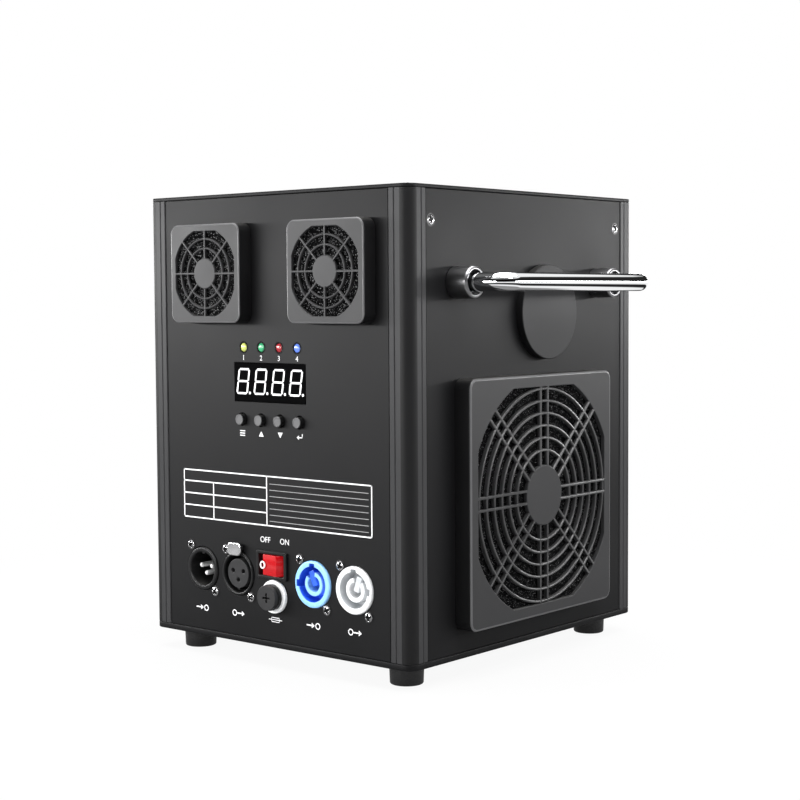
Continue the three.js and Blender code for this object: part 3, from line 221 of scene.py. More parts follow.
def pierced(outline, openings, low, high, edge=0.3):
    """A flat plate with openings: a filled outline, thickened, with rounded rims."""
    curve = bpy.data.curves.new("plate", "CURVE")
    curve.dimensions, curve.fill_mode = "2D", "BOTH"
    curve.extrude, curve.bevel_depth = (high - low) / 2 - edge, edge
    curve.bevel_resolution, curve.offset = 1, -edge
    for loop in [outline, *openings]:
        spline = curve.splines.new("POLY")
        spline.points.add(len(loop) - 1)
        spline.points.foreach_set("co", np.pad(loop, ((0, 0), (0, 2))).astype(np.float32).ravel())
        spline.use_cyclic_u = True
    points, faces = from_object(bpy.data.objects.new("plate", curve))
    return points + np.array([0, 0, (high + low) / 2]), faces


def lettering(words, height, x, y, low, high):
    """Letters as thin plates, scaled to a height and centred on a point."""
    text = bpy.data.curves.new("letters", "FONT")
    text.body, text.extrude = words, 0.5
    points, faces = from_object(bpy.data.objects.new("letters", text))
    least, most = points.min(0), points.max(0)
    scale = height / (most[1] - least[1])
    middle = (least + most) / 2
    flat = (points - middle) * [scale, scale, high - low] + [x, y, (low + high) / 2]
    return flat, faces


def cross_screw(radius, rim, crown, sides=56, rings=26):
    """A domed head on a short rim. Its height is the dome, crown x (1 - (r/R) squared), less a
    cross-shaped recess: two arms with sloping walls that get shallower outwards."""
    share = np.linspace(1, 0.015, rings) ** 0.8
    angle = np.arange(sides) * 2 * np.pi / sides
    reach = (share * radius)[:, None]
    x, y = reach * np.cos(angle), reach * np.sin(angle)
    arm, length, wall = 0.18 * radius, 0.78 * radius, 0.08 * radius

    def inside(along, side):
        ends = np.clip((length - np.abs(along)) / (3 * wall), 0, 1)
        return ends * np.clip((arm + wall - np.abs(side)) / wall, 0, 1)

    recess = np.maximum(inside(x, y), inside(y, x)) * (0.55 * radius)
    top = np.stack([x, y, rim + crown * (1 - share[:, None] ** 2) - recess], -1)
    return loft(np.concatenate([level(circle(radius, sides), -GAP)[None], top]))


def cross_apart(screw, radius, rim, crown):
    """A screw's faces on the dome, and those down in its cross: more than a tenth of the radius
    below crown x (1 - (r/R) squared)."""
    points, faces = screw
    dome, cross = [], []
    for group in faces:
        middles = points[group].mean(1)
        away = np.hypot(middles[:, 0], middles[:, 1])
        drop = rim + crown * (1 - (away / radius) ** 2) - middles[:, 2]
        deep = (drop > 0.1 * radius) & (away < 0.85 * radius)
        dome.append(group[~deep])
        cross.append(group[deep])
    return (points, dome), (points, cross)


# Materials


def socket_group(name, inputs, outputs):
    """A group of shader nodes, its input node and its output node. All its sockets are floats."""
    group = bpy.data.node_groups.new(name, "ShaderNodeTree")
    for label, value in inputs.items():
        socket = group.interface.new_socket(label, in_out="INPUT", socket_type="NodeSocketFloat")
        socket.default_value = value
    for label in outputs:
        group.interface.new_socket(label, in_out="OUTPUT", socket_type="NodeSocketFloat")
    return group, group.nodes.new("NodeGroupInput"), group.nodes.new("NodeGroupOutput")


def node(tree, kind, values=None, **settings):
    """A shader node with its settings. Each input, by name or number, takes a value or a link."""
    made = tree.nodes.new("ShaderNode" + kind)
    for name, value in settings.items():
        setattr(made, name, value)
    for name, value in (values or {}).items():
        if isinstance(value, bpy.types.NodeSocket):
            tree.links.new(value, made.inputs[name])
        else:
            made.inputs[name].default_value = value
    return made


def noise(tree, place, scale, detail=2.0, roughness=0.5):
    made = node(tree, "TexNoise", {"Vector": place, "Scale": scale, "Detail": detail, "Roughness": roughness})
    return made.outputs["Fac"]


def ranged(tree, value, low, high, to_low, to_high):
    ends = {"From Min": low, "From Max": high, "To Min": to_low, "To Max": to_high}
    return node(tree, "MapRange", {"Value": value, **ends}).outputs["Result"]


def maths(tree, operation, first, second):
    return node(tree, "Math", {0: first, 1: second}, operation=operation).outputs[0]


def make_grain():
    """Fine grain of a coat or a mould, with faint larger unevenness: Height and Mottle."""
    inputs = {"Grain": 3000.0, "Mottle": 25.0}
    tree, given, gives = socket_group("surface_grain", inputs, ["Height", "Mottle"])
    place = node(tree, "TexCoord").outputs["Object"]
    fine = noise(tree, place, given.outputs["Grain"], 3.0, 0.6)
    broad = noise(tree, place, given.outputs["Mottle"], 4.0, 0.55)
    tree.links.new(fine, gives.inputs["Height"])
    tree.links.new(ranged(tree, broad, 0.3, 0.7, 0.0, 1.0), gives.inputs["Mottle"])
    return tree


def make_dust():
    """Dust that lies on what faces up, broken by noise: a mask."""
    tree, given, gives = socket_group("settled_dust", {"Amount": 0.3}, ["Mask"])
    up = node(tree, "SeparateXYZ", {"Vector": node(tree, "NewGeometry").outputs["Normal"]}).outputs["Z"]
    place = node(tree, "TexCoord").outputs["Object"]
    patches = ranged(tree, noise(tree, place, 60.0, 6.0, 0.65), 0.35, 0.75, 0.2, 1.0)
    facing = ranged(tree, up, 0.6, 1.0, 0.0, 1.0)
    lying = maths(tree, "MULTIPLY", patches, facing)
    tree.links.new(maths(tree, "MULTIPLY", lying, given.outputs["Amount"]), gives.inputs["Mask"])
    return tree


def make_brushing():
    """Fine lines round Z and along it, as a lathe or a die leaves them: Height."""
    tree, given, gives = socket_group("drawn_lines", {"Across": 2500.0, "Along": 40.0}, ["Height"])
    place = node(tree, "TexCoord").outputs["Object"]
    across, along = given.outputs["Across"], given.outputs["Along"]
    stretch = node(tree, "CombineXYZ", {"X": across, "Y": across, "Z": along}).outputs["Vector"]
    scaled = node(tree, "VectorMath", {0: place, 1: stretch}, operation="MULTIPLY").outputs["Vector"]
    tree.links.new(noise(tree, scaled, 1.0, 2.0), gives.inputs["Height"])
    return tree


GRAIN, DUST, LINES = make_grain(), make_dust(), make_brushing()
DUST_TINT = (0.32, 0.31, 0.29, 1.0)


def grouped(tree, group, **values):
    made = tree.nodes.new("ShaderNodeGroup")
    made.node_tree = group
    for name, value in values.items():
        made.inputs[name].default_value = value
    return made.outputs


def mixed(tree, share, first, second):
    return node(tree, "Mix", {0: share, 6: first, 7: second}, data_type="RGBA").outputs[2]


def surface(
    name, colour, roughness=(0.4, 0.5), grain=2500, depth=0.01, mottle=25, variation=0.08, dust=0.0,
    lines=0.0, specular=0.5, **sockets
):
    """A solid finish: grain as bump of a depth in millimetres, or drawn lines instead of it,
    mottling in colour and roughness, and dust on top faces."""
    material = bpy.data.materials.new(name)
    material.use_nodes = True
    tree = material.node_tree
    shader = tree.nodes["Principled BSDF"]
    given = grouped(tree, GRAIN, Grain=grain, Mottle=mottle)
    dark, light = ([c * (1 + side * variation) for c in colour] + [1.0] for side in (-1, 1))
    tint = mixed(tree, given["Mottle"], dark, light)
    rough = ranged(tree, given["Mottle"], 0.0, 1.0, *roughness)
    if dust:
        mask = grouped(tree, DUST, Amount=dust)["Mask"]
        tint = mixed(tree, mask, tint, DUST_TINT)
        rough = maths(tree, "ADD", rough, maths(tree, "MULTIPLY", mask, 0.4))
    height = grouped(tree, LINES, Across=lines)["Height"] if lines else given["Height"]
    bump = node(tree, "Bump", {"Height": height, "Strength": 1.0, "Distance": depth * MM})
    tree.links.new(tint, shader.inputs["Base Color"])
    tree.links.new(rough, shader.inputs["Roughness"])
    tree.links.new(bump.outputs["Normal"], shader.inputs["Normal"])
    for label, value in {"Specular_IOR_Level": specular, **sockets}.items():
        shader.inputs[label.replace("_", " ")].default_value = value
    return material


def foam_surface():
    """Open-cell foam: near black, with a pale fleck painted at the middle of some of its cells as a painted
    highlight, where a strut would catch the light. A cell has one where its own random value is high."""
    material = surface("filter_foam_painted_glints", neutral(0.012, 0.013), (0.8, 0.95), 1800, 0.15, specular=0.04)
    tree = material.node_tree
    place = node(tree, "TexCoord").outputs["Object"]
    cells = node(tree, "TexVoronoi", {"Vector": place, "Scale": 1500.0}).outputs
    draw = node(tree, "SeparateColor", {"Color": cells["Color"]}).outputs[0]
    near = ranged(tree, cells["Distance"], 0.25, 0.45, 1.0, 0.0)
    chosen = ranged(tree, draw, 0.4, 0.95, 0.0, 1.0)
    # Painted highlight: the pale flecks.
    painted_glints = maths(tree, "MULTIPLY", near, chosen)
    tint = mixed(tree, painted_glints, (0.0015, 0.0015, 0.0017, 1.0), (0.32, 0.32, 0.325, 1.0))
    tree.links.new(tint, tree.nodes["Principled BSDF"].inputs["Base Color"])
    return material


def neutral(grey, blue):
    """A grey with its own share of blue."""
    return grey, grey, blue


def glowing(colour, strength):
    return {"Emission_Color": (*colour, 1.0), "Emission_Strength": strength}


PAINT = surface(
    "satin_powder_coat", neutral(0.007, 0.0076), (0.43, 0.49), 3500, 0.005, 18, 0.05, 0.03, specular=0.13
)
EXTRUSION = surface(
    "coated_extrusion", neutral(0.038, 0.0395), (0.36, 0.42), 3000, 0.003, 22, 0.05, 0.25, specular=0.12
)
# Painted shade: a darker copy of the same coat, for the posts' rounded corners.
EXTRUSION_NOSE_SHADE = surface(
    "extrusion_nose_painted_shade", neutral(0.011, 0.0115), (0.42, 0.48), 3000, 0.003, 22, 0.05, 0.25, specular=0.15
)
GUARD = surface(
    "moulded_guard_face", neutral(0.031, 0.0322), (0.36, 0.44), 2600, 0.006, 30, 0.04, 0.2, specular=0.18
)
GUARD_BARS = surface(
    "moulded_guard_bars", neutral(0.036, 0.0372), (0.36, 0.44), 2600, 0.003, 30, 0.04, 0.2,
    specular=0.18, Coat_Weight=0.7, Coat_Roughness=0.14,
)
# Painted shade: a near-black copy of the guard's plastic, for the guards' walls and the side disc's wall.
GUARD_WALL_SHADE = surface(
    "guard_wall_painted_shade", neutral(0.008, 0.0085), (0.3, 0.38), 2600, 0.004, 30, 0.06, 0.15, specular=0.15
)
# Painted highlight: a paler copy of the guard's plastic, for the rounded edge of each guard's face.
GUARD_EDGE_HIGHLIGHT = surface("guard_edge_painted_highlight", neutral(0.09, 0.093), (0.3, 0.38), 2600, 0.004, 30, 0.06, 0.15)
FOAM = foam_surface()
FAN = surface("moulded_fan", neutral(0.012, 0.013), (0.4, 0.5), 2200, 0.01, 40, 0.08, 0.3)
RUBBER = surface("foot_rubber", neutral(0.012, 0.0125), (0.2, 0.28), 2000, 0.006, 60, 0.1, specular=0.7)
CHROME = surface("polished_chrome", (0.86, 0.87, 0.88), (0.03, 0.06), 600, 0.0006, 30, 0.02, Metallic=1.0)
BLACK_CHROME = surface("black_chrome", neutral(0.3, 0.307), (0.28, 0.34), 700, 0.0008, 30, 0.04, Metallic=1.0)
STEEL = surface(
    "bright_steel", (0.55, 0.56, 0.58), (0.22, 0.34), 1500, 0.004, 40, 0.06, 0.1, lines=2200, Metallic=1.0
)
NICKEL = surface("nickel_plate", neutral(0.78, 0.79), (0.2, 0.26), 900, 0.0005, 60, 0.05, Metallic=1.0)
PIN = surface("satin_contact", neutral(0.9, 0.9), (0.28, 0.34), 900, 0.0005, 60, 0.05, Metallic=0.35)
SCREW = surface("zinc_screw", neutral(0.6, 0.61), (0.2, 0.28), 1500, 0.002, 60, 0.1, Metallic=1.0)
BLACK_SCREW = surface(
    "black_oxide_screw", neutral(0.06, 0.062), (0.26, 0.36), 1500, 0.004, 60, 0.1, Metallic=0.9
)
BLACK = surface(
    "moulded_black", neutral(0.009, 0.0095), (0.26, 0.34), 2400, 0.003, 40, 0.08, 0.1, specular=0.25
)
KEY = surface("button_plastic", neutral(0.09, 0.093), (0.32, 0.4), 2400, 0.006, 60, 0.08, 0.1)
DISC = surface(
    "side_disc_plastic", neutral(0.02, 0.021), (0.4, 0.48), 2600, 0.006, 30, 0.04, 0.2, specular=0.13
)
DISPLAY = surface(
    "display_black", neutral(0.0015, 0.0017), (0.05, 0.08), 1500, 0.0004, 60, 0.1, specular=0.02
)
DIGIT = surface(
    "lit_segment", neutral(0.9, 0.92), (0.3, 0.4), 1500, 0.001, 60, 0.02, **glowing((1, 1, 1), 0.35)
)
INK = surface("printed_ink", neutral(0.86, 0.87), (0.45, 0.55), 3000, 0.003, 80, 0.03)
FAINT_INK = surface("thin_printed_ink", neutral(0.33, 0.335), (0.45, 0.55), 3000, 0.003, 80, 0.05)
PALE_BLUE = surface("pale_blue_plastic", (0.3, 0.6, 0.98), (0.24, 0.32), 2400, 0.003, 40, 0.04)
BLUE = surface("blue_plastic", (0.028, 0.13, 0.85), (0.18, 0.28), 2400, 0.003, 40, 0.06)
WHITE = surface("white_plastic", (0.88, 0.89, 0.9), (0.24, 0.32), 2400, 0.003, 40, 0.02)
GREY = surface("grey_plastic", (0.62, 0.64, 0.66), (0.26, 0.34), 2400, 0.003, 40, 0.04)
# Painted glow: the red plastic gives off a faint red light, though the rocker holds no lamp.
RED_PAINTED_GLOW = surface(
    "red_plastic", (0.4, 0.002, 0.005), (0.2, 0.28), 900, 0.002, 90, 0.14,
    specular=0.2, Coat_Weight=0.4, Coat_Roughness=0.04, **glowing((0.8, 0.0, 0.01), 0.12),
)
BOARD = surface("circuit_board", (0.012, 0.09, 0.035), (0.3, 0.5), 1200, 0.02, 90, 0.3)
CERAMIC = surface("fired_ceramic", (0.6, 0.56, 0.48), (0.6, 0.75), 1400, 0.03, 60, 0.08)
CAST = surface("cast_aluminium", (0.55, 0.56, 0.57), (0.35, 0.5), 900, 0.03, 60, 0.08, Metallic=1.0)
LENS_COLOURS = {
    "yellow_green": (0.5, 0.55, 0.12),
    "green": (0.03, 0.34, 0.14),
    "red": (0.3, 0.008, 0.015),
    "blue": (0.1, 0.2, 0.7),
}
LAMPS = [
    surface(
        f"lamp_lens_{label}", colour, (0.22, 0.3), 900, 0.001, 120, 0.06,
        Coat_Weight=0.6, Coat_Roughness=0.16, **glowing(colour, 0.12),
    )
    for label, colour in LENS_COLOURS.items()
]


# Pieces


def piece(name, finishes, side="plan", body="housing", replaces=(), slot=None, sharp=32.0):
    """One object in its place, from shells grouped by material. Faces across the side's Z and
    faces with more than four corners stay flat, and the others are shaded smooth."""
    points, corners, counts, indices, smooth, offset = [], [], [], [], [], 0
    for index, (_, shells) in enumerate(finishes):
        for shell_points, faces in shells:
            for group in faces:
                near, middle, far = (shell_points[group[:, i]] for i in range(3))
                across = np.cross(middle - near, far - middle)
                steep = np.abs(across[:, 2]) < 0.9999 * np.linalg.norm(across, axis=1)
                smooth.append(steep & (group.shape[1] < 5))
                corners.append((group + offset).ravel())
                counts.append(np.full(len(group), group.shape[1]))
                indices.append(np.full(len(group), index))
            points.append(shell_points)
            offset += len(shell_points)
    world = to_world(np.concatenate(points), side) * MM
    corners, counts, indices, smooth = map(np.concatenate, (corners, counts, indices, smooth))
    mesh = bpy.data.meshes.new(name)
    mesh.vertices.add(len(world))
    mesh.vertices.foreach_set("co", world.astype(np.float32).ravel())
    mesh.loops.add(len(corners))
    mesh.loops.foreach_set("vertex_index", corners.astype(np.int32))
    mesh.polygons.add(len(counts))
    mesh.polygons.foreach_set("loop_start", (np.cumsum(counts) - counts).astype(np.int32))
    mesh.polygons.foreach_set("material_index", indices.astype(np.int32))
    mesh.update(calc_edges=True)
    mesh.validate()
    mesh.set_sharp_from_angle(angle=math.radians(sharp))
    mesh.polygons.foreach_set("use_smooth", smooth)
    for material, _ in finishes:
        mesh.materials.append(material)
    made = bpy.data.objects.new(name, mesh)
    bpy.context.collection.objects.link(made)
    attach(made, body)
    if replaces:
        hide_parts(*replaces)
    return made


def body_of(node_name):
    """The body that a CAD node belongs to."""
    groups = frame["record"]["behaviour"]["bodies"]
    return next(body for body, nodes in groups.items() if node_name in nodes)


def stand_in(node_name, finishes, side, slot, **more):
    """A piece that takes the place of one CAD node and rides on its body."""
    return piece(node_name + "_finish", finishes, side, body_of(node_name), (node_name,), slot, **more)


# Housing

NOZZLE_BORE, NOZZLE_WALL, RIM_RADIUS, RIM_HEIGHT = 12, 3, 17.2, 7
HOPPER_X, HOPPER_Y, HOPPER_BORE, HOPPER_WALL = -42, 46, 22, 1.5
HOPPER_RIM, LID_RADIUS = 26.5, 24.6


def add_plates():
    outline = rectangle(WIDTH, DEPTH, CORNER, steps=16)
    holes = [
        circle(NOZZLE_BORE + NOZZLE_WALL + GAP, 96),
        circle(HOPPER_BORE + HOPPER_WALL + GAP, 128, HOPPER_X, HOPPER_Y),
    ]
    cover = pierced(outline, holes, COVER_FOOT, BODY_TOP, 0.35)
    stand_in("top_cover", [(PAINT, [cover])], "plan", "painted_sheet")
    base = slab(outline, BASE_FOOT, BASE_TOP, 0.5)
    stand_in("base_plate", [(PAINT, [base])], "plan", "painted_sheet")


def post_outline():
    """The post's section with its outer corner at 0, 0: half of it, and its mirror image in the
    diagonal. Each flat has a shallow groove and a small chamfer at the panel."""
    groove, width, depth, chamfer = 3.6 - POST_SIDE, 0.9, 0.4, 0.35
    nose = -CORNER + CORNER * circle(1.0, 128)[:17][::-1]
    flat = [
        [0, groove + width / 2],
        [-depth, groove],
        [0, groove - width / 2],
        [0, -POST_SIDE + chamfer],
        [-chamfer, -POST_SIDE],
        [BACK_SEAT, -POST_SIDE],
        [BACK_SEAT, -POST_SIDE - 9],
        [BACK_SEAT - 2.5, -POST_SIDE - 9],
        [BACK_SEAT - 2.5, BACK_SEAT - 11.5],
    ]
    half = np.concatenate([nose, flat])
    mirrored = half[::-1, ::-1]
    return np.concatenate([half, mirrored[1:-1]])[::-1]


def add_posts():
    outline = post_outline()
    points, (quads, *ends) = loft(np.array([level(outline, h) for h in (BASE_TOP + SEAT, COVER_FOOT - SEAT)]))
    on_nose = np.abs(np.hypot(*(outline + CORNER).T) - CORNER) < 0.001
    nose = (on_nose & np.roll(on_nose, -1))[quads[:, 0] % len(outline)]
    corners = {"rear_right": (1, 1), "rear_left": (-1, 1), "front_left": (-1, -1), "front_right": (1, -1)}
    for quarter, (label, (across, back)) in enumerate(corners.items()):
        place = across * WIDTH / 2, back * DEPTH / 2, 0, quarter * 90
        flats, arc = moved((points, [quads[~nose], *ends]), *place), moved((points, [quads[nose]]), *place)
        # Painted shade: the rounded corner gets the darker copy of the coat.
        finishes = [(EXTRUSION, [flats]), (EXTRUSION_NOSE_SHADE, [arc])]
        stand_in("corner_post_" + label, finishes, "plan", "painted_extrusion", sharp=20.0)


def add_feet():
    top, recess = BASE_FOOT - SEAT, 5
    profile = rounded(
        [[0.3, recess], [4.2, recess], [4.2, 0], [8.5, 0], [8.9, top], [0.3, top]],
        [0, 0.2, 0.3, 0.9, 0.3, 0],
        5,
    )
    screw, faces = cross_screw(3.2, 0.6, 0.9)
    for depth_label, back in (("front", -1), ("rear", 1)):
        for label, across in (("left", -1), ("right", 1)):
            x, y = across * (WIDTH / 2 - FOOT_INSET), back * (DEPTH / 2 - FOOT_INSET)
            under = screw * [1, -1, -1] + [x, y, recess], faces
            finishes = [(RUBBER, [turned(profile, 72, x=x, y=y)]), (NICKEL, [under])]
            stand_in(f"foot_{depth_label}_{label}", finishes, "plan", "foot_rubber")


SOCKET_LEVEL, DATA_IN, DATA_OUT, POWER_IN, POWER_OUT = 36.5, -53.4, -26.4, 28.0, 56.3
SWITCH_X, SWITCH_Y = -0.8, 43.4
FUSE_X, FUSE_Y = 0.9, 27.2
FANS = {"left": (-40.3, 195.5), "right": (45.5, 195.5)}
SIDE_FAN = (-1.4, 78.3)
LAMP_X, LAMP_Y = [-20.575, -7.725, 5.125, 17.975], 156.8
LAMP_SLOTS = ("lamp_yellow_green", "lamp_green", "lamp_red", "lamp_blue")
BUTTON_X, BUTTON_Y = [-22.0, -8.2, 5.6, 19.4], 118.8
WINDOW = (-1.8, 138.5)


def panel_outline(width):
    return rectangle(width - 2 * (POST_SIDE + JOINT), PANEL_HEIGHT, 0.0, 0, PANEL_MIDDLE)


def add_panels():
    data_hole, power_hole, notch, notch_top = 12.0, 12.4, 3.8, 15.2
    arc = circle(data_hole, 96)
    arc = arc[(np.abs(arc[:, 0]) > notch) | (arc[:, 1] < 0)]
    order = np.argsort(np.mod(np.arctan2(arc[:, 1], arc[:, 0]) - np.pi / 2 - 1e-6, 2 * np.pi))
    keyhole = np.concatenate([arc[order], [[notch, notch_top], [-notch, notch_top]]])
    holes = [
        rectangle(51.6, 20.6, 0.4, *WINDOW),
        rectangle(20.2, 14.0, 0.4, SWITCH_X, SWITCH_Y),
        circle(6.2, 48, FUSE_X, FUSE_Y),
        circle(data_hole, 96, DATA_IN, SOCKET_LEVEL),
        circle(power_hole, 96, POWER_IN, SOCKET_LEVEL),
        circle(power_hole, 96, POWER_OUT, SOCKET_LEVEL),
        keyhole + [DATA_OUT, SOCKET_LEVEL],
        *[circle(23, 96, *place) for place in FANS.values()],
        *[circle(2.9, 48, x, LAMP_Y) for x in LAMP_X],
        *[circle(3.5, 48, x, BUTTON_Y) for x in BUTTON_X],
    ]
    front = pierced(panel_outline(WIDTH), holes, PANEL_BACK, PANEL_FACE, 0.2)
    stand_in("control_panel", [(PAINT, [front])], "front", "painted_sheet")
    right = pierced(panel_outline(DEPTH), [circle(57.5, 160, *SIDE_FAN)], PANEL_BACK, PANEL_FACE, 0.2)
    stand_in("right_panel", [(PAINT, [right])], "right", "painted_sheet")
    for label, width in (("left", DEPTH), ("rear", WIDTH)):
        plain = slab(panel_outline(width), PANEL_BACK, PANEL_FACE, 0.2)
        stand_in(label + "_panel", [(PAINT, [plain])], label, "painted_sheet")


# Filter guards

FOAM_THICKNESS = 3.5


def octant_angles(*kept):
    """Even angles over one octant with the kept ones added, mirrored and turned to a full turn."""
    octant = np.unique(np.concatenate([np.linspace(0, np.pi / 4, 33), kept]))
    quarter = np.concatenate([octant, (np.pi / 2 - octant)[::-1][1:-1]])
    return np.concatenate([quarter + turn * np.pi / 2 for turn in range(4)])


def rounded_square(angle, half, corner):
    """The distance from the centre to a rounded square: half over the larger of cosine and sine
    on a flat, and the far root of the line's meeting with the corner's circle elsewhere."""
    c, s = np.abs(np.cos(angle)), np.abs(np.sin(angle))
    big, small = np.maximum(c, s), np.minimum(c, s)
    flat = half / big
    inner = half - corner
    along = (c + s) * inner
    arc = along + np.sqrt(np.maximum(along**2 - 2 * inner**2 + corner**2, 0))
    return np.where(flat * small <= inner, flat, arc)


def clipped_circle(angle, half, radius):
    """The distance from the centre to a circle with flattened sides: the nearer of both."""
    return np.minimum(radius, half / np.maximum(np.abs(np.cos(angle)), np.abs(np.sin(angle))))


def guard_shells(side, depth, corner, edge, shell, half, bulge, hub, rings, bar, spacing, rib):
    """A tray with a round opening, a hub, rings between them, and eight spokes or pairs of them: the walls,
    which take painted shade, the rounded edge, which takes a painted highlight, the face with the hub, and
    the bars."""
    radius = half + bulge
    angle = octant_angles(np.arctan((side / 2 - corner) / (side / 2)), np.arccos(min(1, half / radius)))
    unit = np.stack([np.cos(angle), np.sin(angle)], -1)
    quarter = np.linspace(0, np.pi / 2, 7)

    def outer(inward, height):
        reach = rounded_square(angle, side / 2 - inward, max(corner - inward, 0.5))
        return level(unit * reach[:, None], height)

    def inner(outward, height):
        reach = clipped_circle(angle, half + outward, radius + outward)
        return level(unit * reach[:, None], height)

    lip = 0.4
    wall = [outer(0, 0)] + [outer(edge * (1 - np.cos(q)), depth - edge * (1 - np.sin(q))) for q in quarter]
    rim = [inner(lip * (1 - np.sin(q)), depth - lip * (1 - np.cos(q))) for q in quarter]
    under = [inner(0, depth - rib), outer(shell, depth - rib), outer(shell, 0)]
    points, (faces,) = loft(np.array(wall + rim + under), closed=True)
    row = faces[:, 0] // len(angle)
    # Painted shade: the outer wall with the start of its rounding, and the underside, get the near-black wall
    # finish.
    dark = (row < 3) | (row >= len(wall) + len(rim))
    # Painted highlight: the rest of the outer rounded edge gets a paler finish.
    highlight_rows = ~dark & (row < len(wall) - 1)
    walls, edges, face = [(points, [faces[rows]]) for rows in (dark, highlight_rows, ~dark & ~highlight_rows)]
    floor, top = depth - rib, depth - SINK
    soft = 0.42 * bar
    radii = [0.05, soft, soft, 0.05]
    hub_disc = turned(
        rounded([[0.2, floor], [hub, floor], [hub, depth], [0.2, depth]], [0, 0.1, 0.5, 0], 5), 96
    )
    bars = []
    for r in rings:
        far, near = r + bar / 2, r - bar / 2
        bars.append(ring([[far, floor], [far, top], [near, top], [near, floor]], radii, 144, steps=4))
    a, crest = bar / 2, top + SINK / 2
    section = rounded([[-a, floor], [a, floor], [a, crest], [-a, crest]], radii, 4)
    for turn in range(8):
        reach = clipped_circle(np.array(turn * np.pi / 4), half, radius) + 0.6
        spoke = loft(np.stack([np.insert(section, 0, x, 1) for x in (hub - 1.2, reach)]))
        for offset in (-spacing / 2, spacing / 2) if spacing else (0,):
            bars.append(moved(moved(spoke, 0, offset), turn=turn * 45))
    return [walls], [edges], [face, hub_disc], bars


def foam_shell(side, low, high, pitch, seed):
    """A block whose top is a grid of random heights: each section across it is a closed loop of
    two lower corners and the top's points."""
    draw = np.random.RandomState(seed)
    count = int(side / pitch) + 1
    along = np.linspace(-side / 2, side / 2, count)
    heights = high - 0.25 * draw.random_sample((count, count)) ** 1.5
    top = np.stack([*np.meshgrid(along, along[::-1], indexing="ij"), heights], -1)
    rows, ends = np.repeat(along[:, None], 2, 1), np.broadcast_to([-side / 2, side / 2], (count, 2))
    foot = np.stack([rows, ends, np.full((count, 2), low)], -1)
    return loft(np.concatenate([foot, top], 1))


def add_guard(label, side, place, side_length, sizes, foam_pitch, seed, bar_finish):
    def seated(shells):
        return [moved(shell, *place, FRONT_SEAT) for shell in shells]

    walls, edges, faces, bars = map(seated, guard_shells(side_length, **sizes))
    # The walls carry painted shade and the rounded edge a painted highlight.
    finishes = [(GUARD, faces), (bar_finish, bars), (GUARD_EDGE_HIGHLIGHT, edges), (GUARD_WALL_SHADE, walls)]
    stand_in(label + "_filter_guard", finishes, side, "guard_plastic", sharp=28.0)
    foam_side = side_length - 2 * (sizes["shell"] + GAP)
    foam_top = sizes["depth"] - sizes["rib"] - SEAT
    foam = foam_shell(foam_side, foam_top - FOAM_THICKNESS, foam_top, foam_pitch, seed)
    stand_in(label + "_filter_foam", [(FOAM, seated([foam]))], side, "filter_foam", sharp=180.0)


def add_guards():
    first, last, count = 23.7, 56, 6
    small = dict(
        depth=8.6, corner=5, edge=0.9, shell=1.6, half=22.2, bulge=1.4, hub=8.1, rings=(13.2, 18.2),
        bar=1.1, spacing=0, rib=1.6,
    )
    large = dict(
        depth=9.9, corner=5, edge=1.2, shell=1.6, half=57, bulge=6, hub=15.9,
        rings=[first + i * (last - first) / (count - 1) for i in range(count)],
        bar=1.4, spacing=6.4, rib=2.2,
    )
    add_guard("left", "front", FANS["left"], 52, small, 0.55, 11, GUARD)
    add_guard("right", "front", FANS["right"], 52, small, 0.55, 12, GUARD)
    add_guard("side", "right", SIDE_FAN, 127, large, 0.65, 13, GUARD_BARS)


# Display, lamps and buttons


def segment(start, end, width):
    """One bar of a digit: a hexagon with its points on the ends of its middle line."""
    start, end = np.array(start, float), np.array(end, float)
    along = (end - start) / np.linalg.norm(end - start)
    out = np.array([-along[1], along[0]]) * width / 2
    near, far = start + along * 0.2, end - along * 0.2
    inward = along * width / 2
    corners = [near, near + inward - out, far - inward - out, far, far - inward + out, near + inward + out]
    return rounded(corners, 0.08, 3)


def digit_shells(x, y, width, height, thick, low, high):
    """Seven bars round two squares, each point shifted sideways by 0.15 of its height."""
    a, b = width / 2, height / 2
    corners = {"tl": (-a, b), "tr": (a, b), "ml": (-a, 0), "mr": (a, 0), "bl": (-a, -b), "br": (a, -b)}
    bars = [("tl", "tr"), ("ml", "mr"), ("bl", "br"), ("ml", "tl"), ("bl", "ml"), ("mr", "tr"), ("br", "mr")]
    shells = []
    for start, end in bars:
        outline = segment(corners[start], corners[end], thick)
        outline = outline[::-1] if np.cross(outline[1] - outline[0], outline[2] - outline[1]) < 0 else outline
        leaning = outline + np.stack([outline[:, 1] * 0.15, np.zeros(len(outline))], -1) + [x, y]
        shells.append(slab(leaning, low, high, 0))
    return shells


def add_display():
    x, y = WINDOW
    face = -0.25
    low, high = face - SINK, face + SINK
    back = slab(rectangle(55, 24, 0.6, x, y), -3.3, BACK_SEAT, 0.2)
    window = slab(rectangle(51, 20, 0.4, x, y), -3.0, face, 0.15)
    digits = []
    for middle in -20.9 + 12.7 * np.arange(4):
        digits += digit_shells(middle, 138.95, 7.4, 12.7, 1.0, low, high)
        digits.append(slab(circle(0.72, 24, middle + 4.9, 132.9), low, high, 0))
    stand_in("display_window", [(DISPLAY, [back, window])], "front", "display_window")
    piece("display_digits", [(DIGIT, digits)], "front", slot="light_plastic")


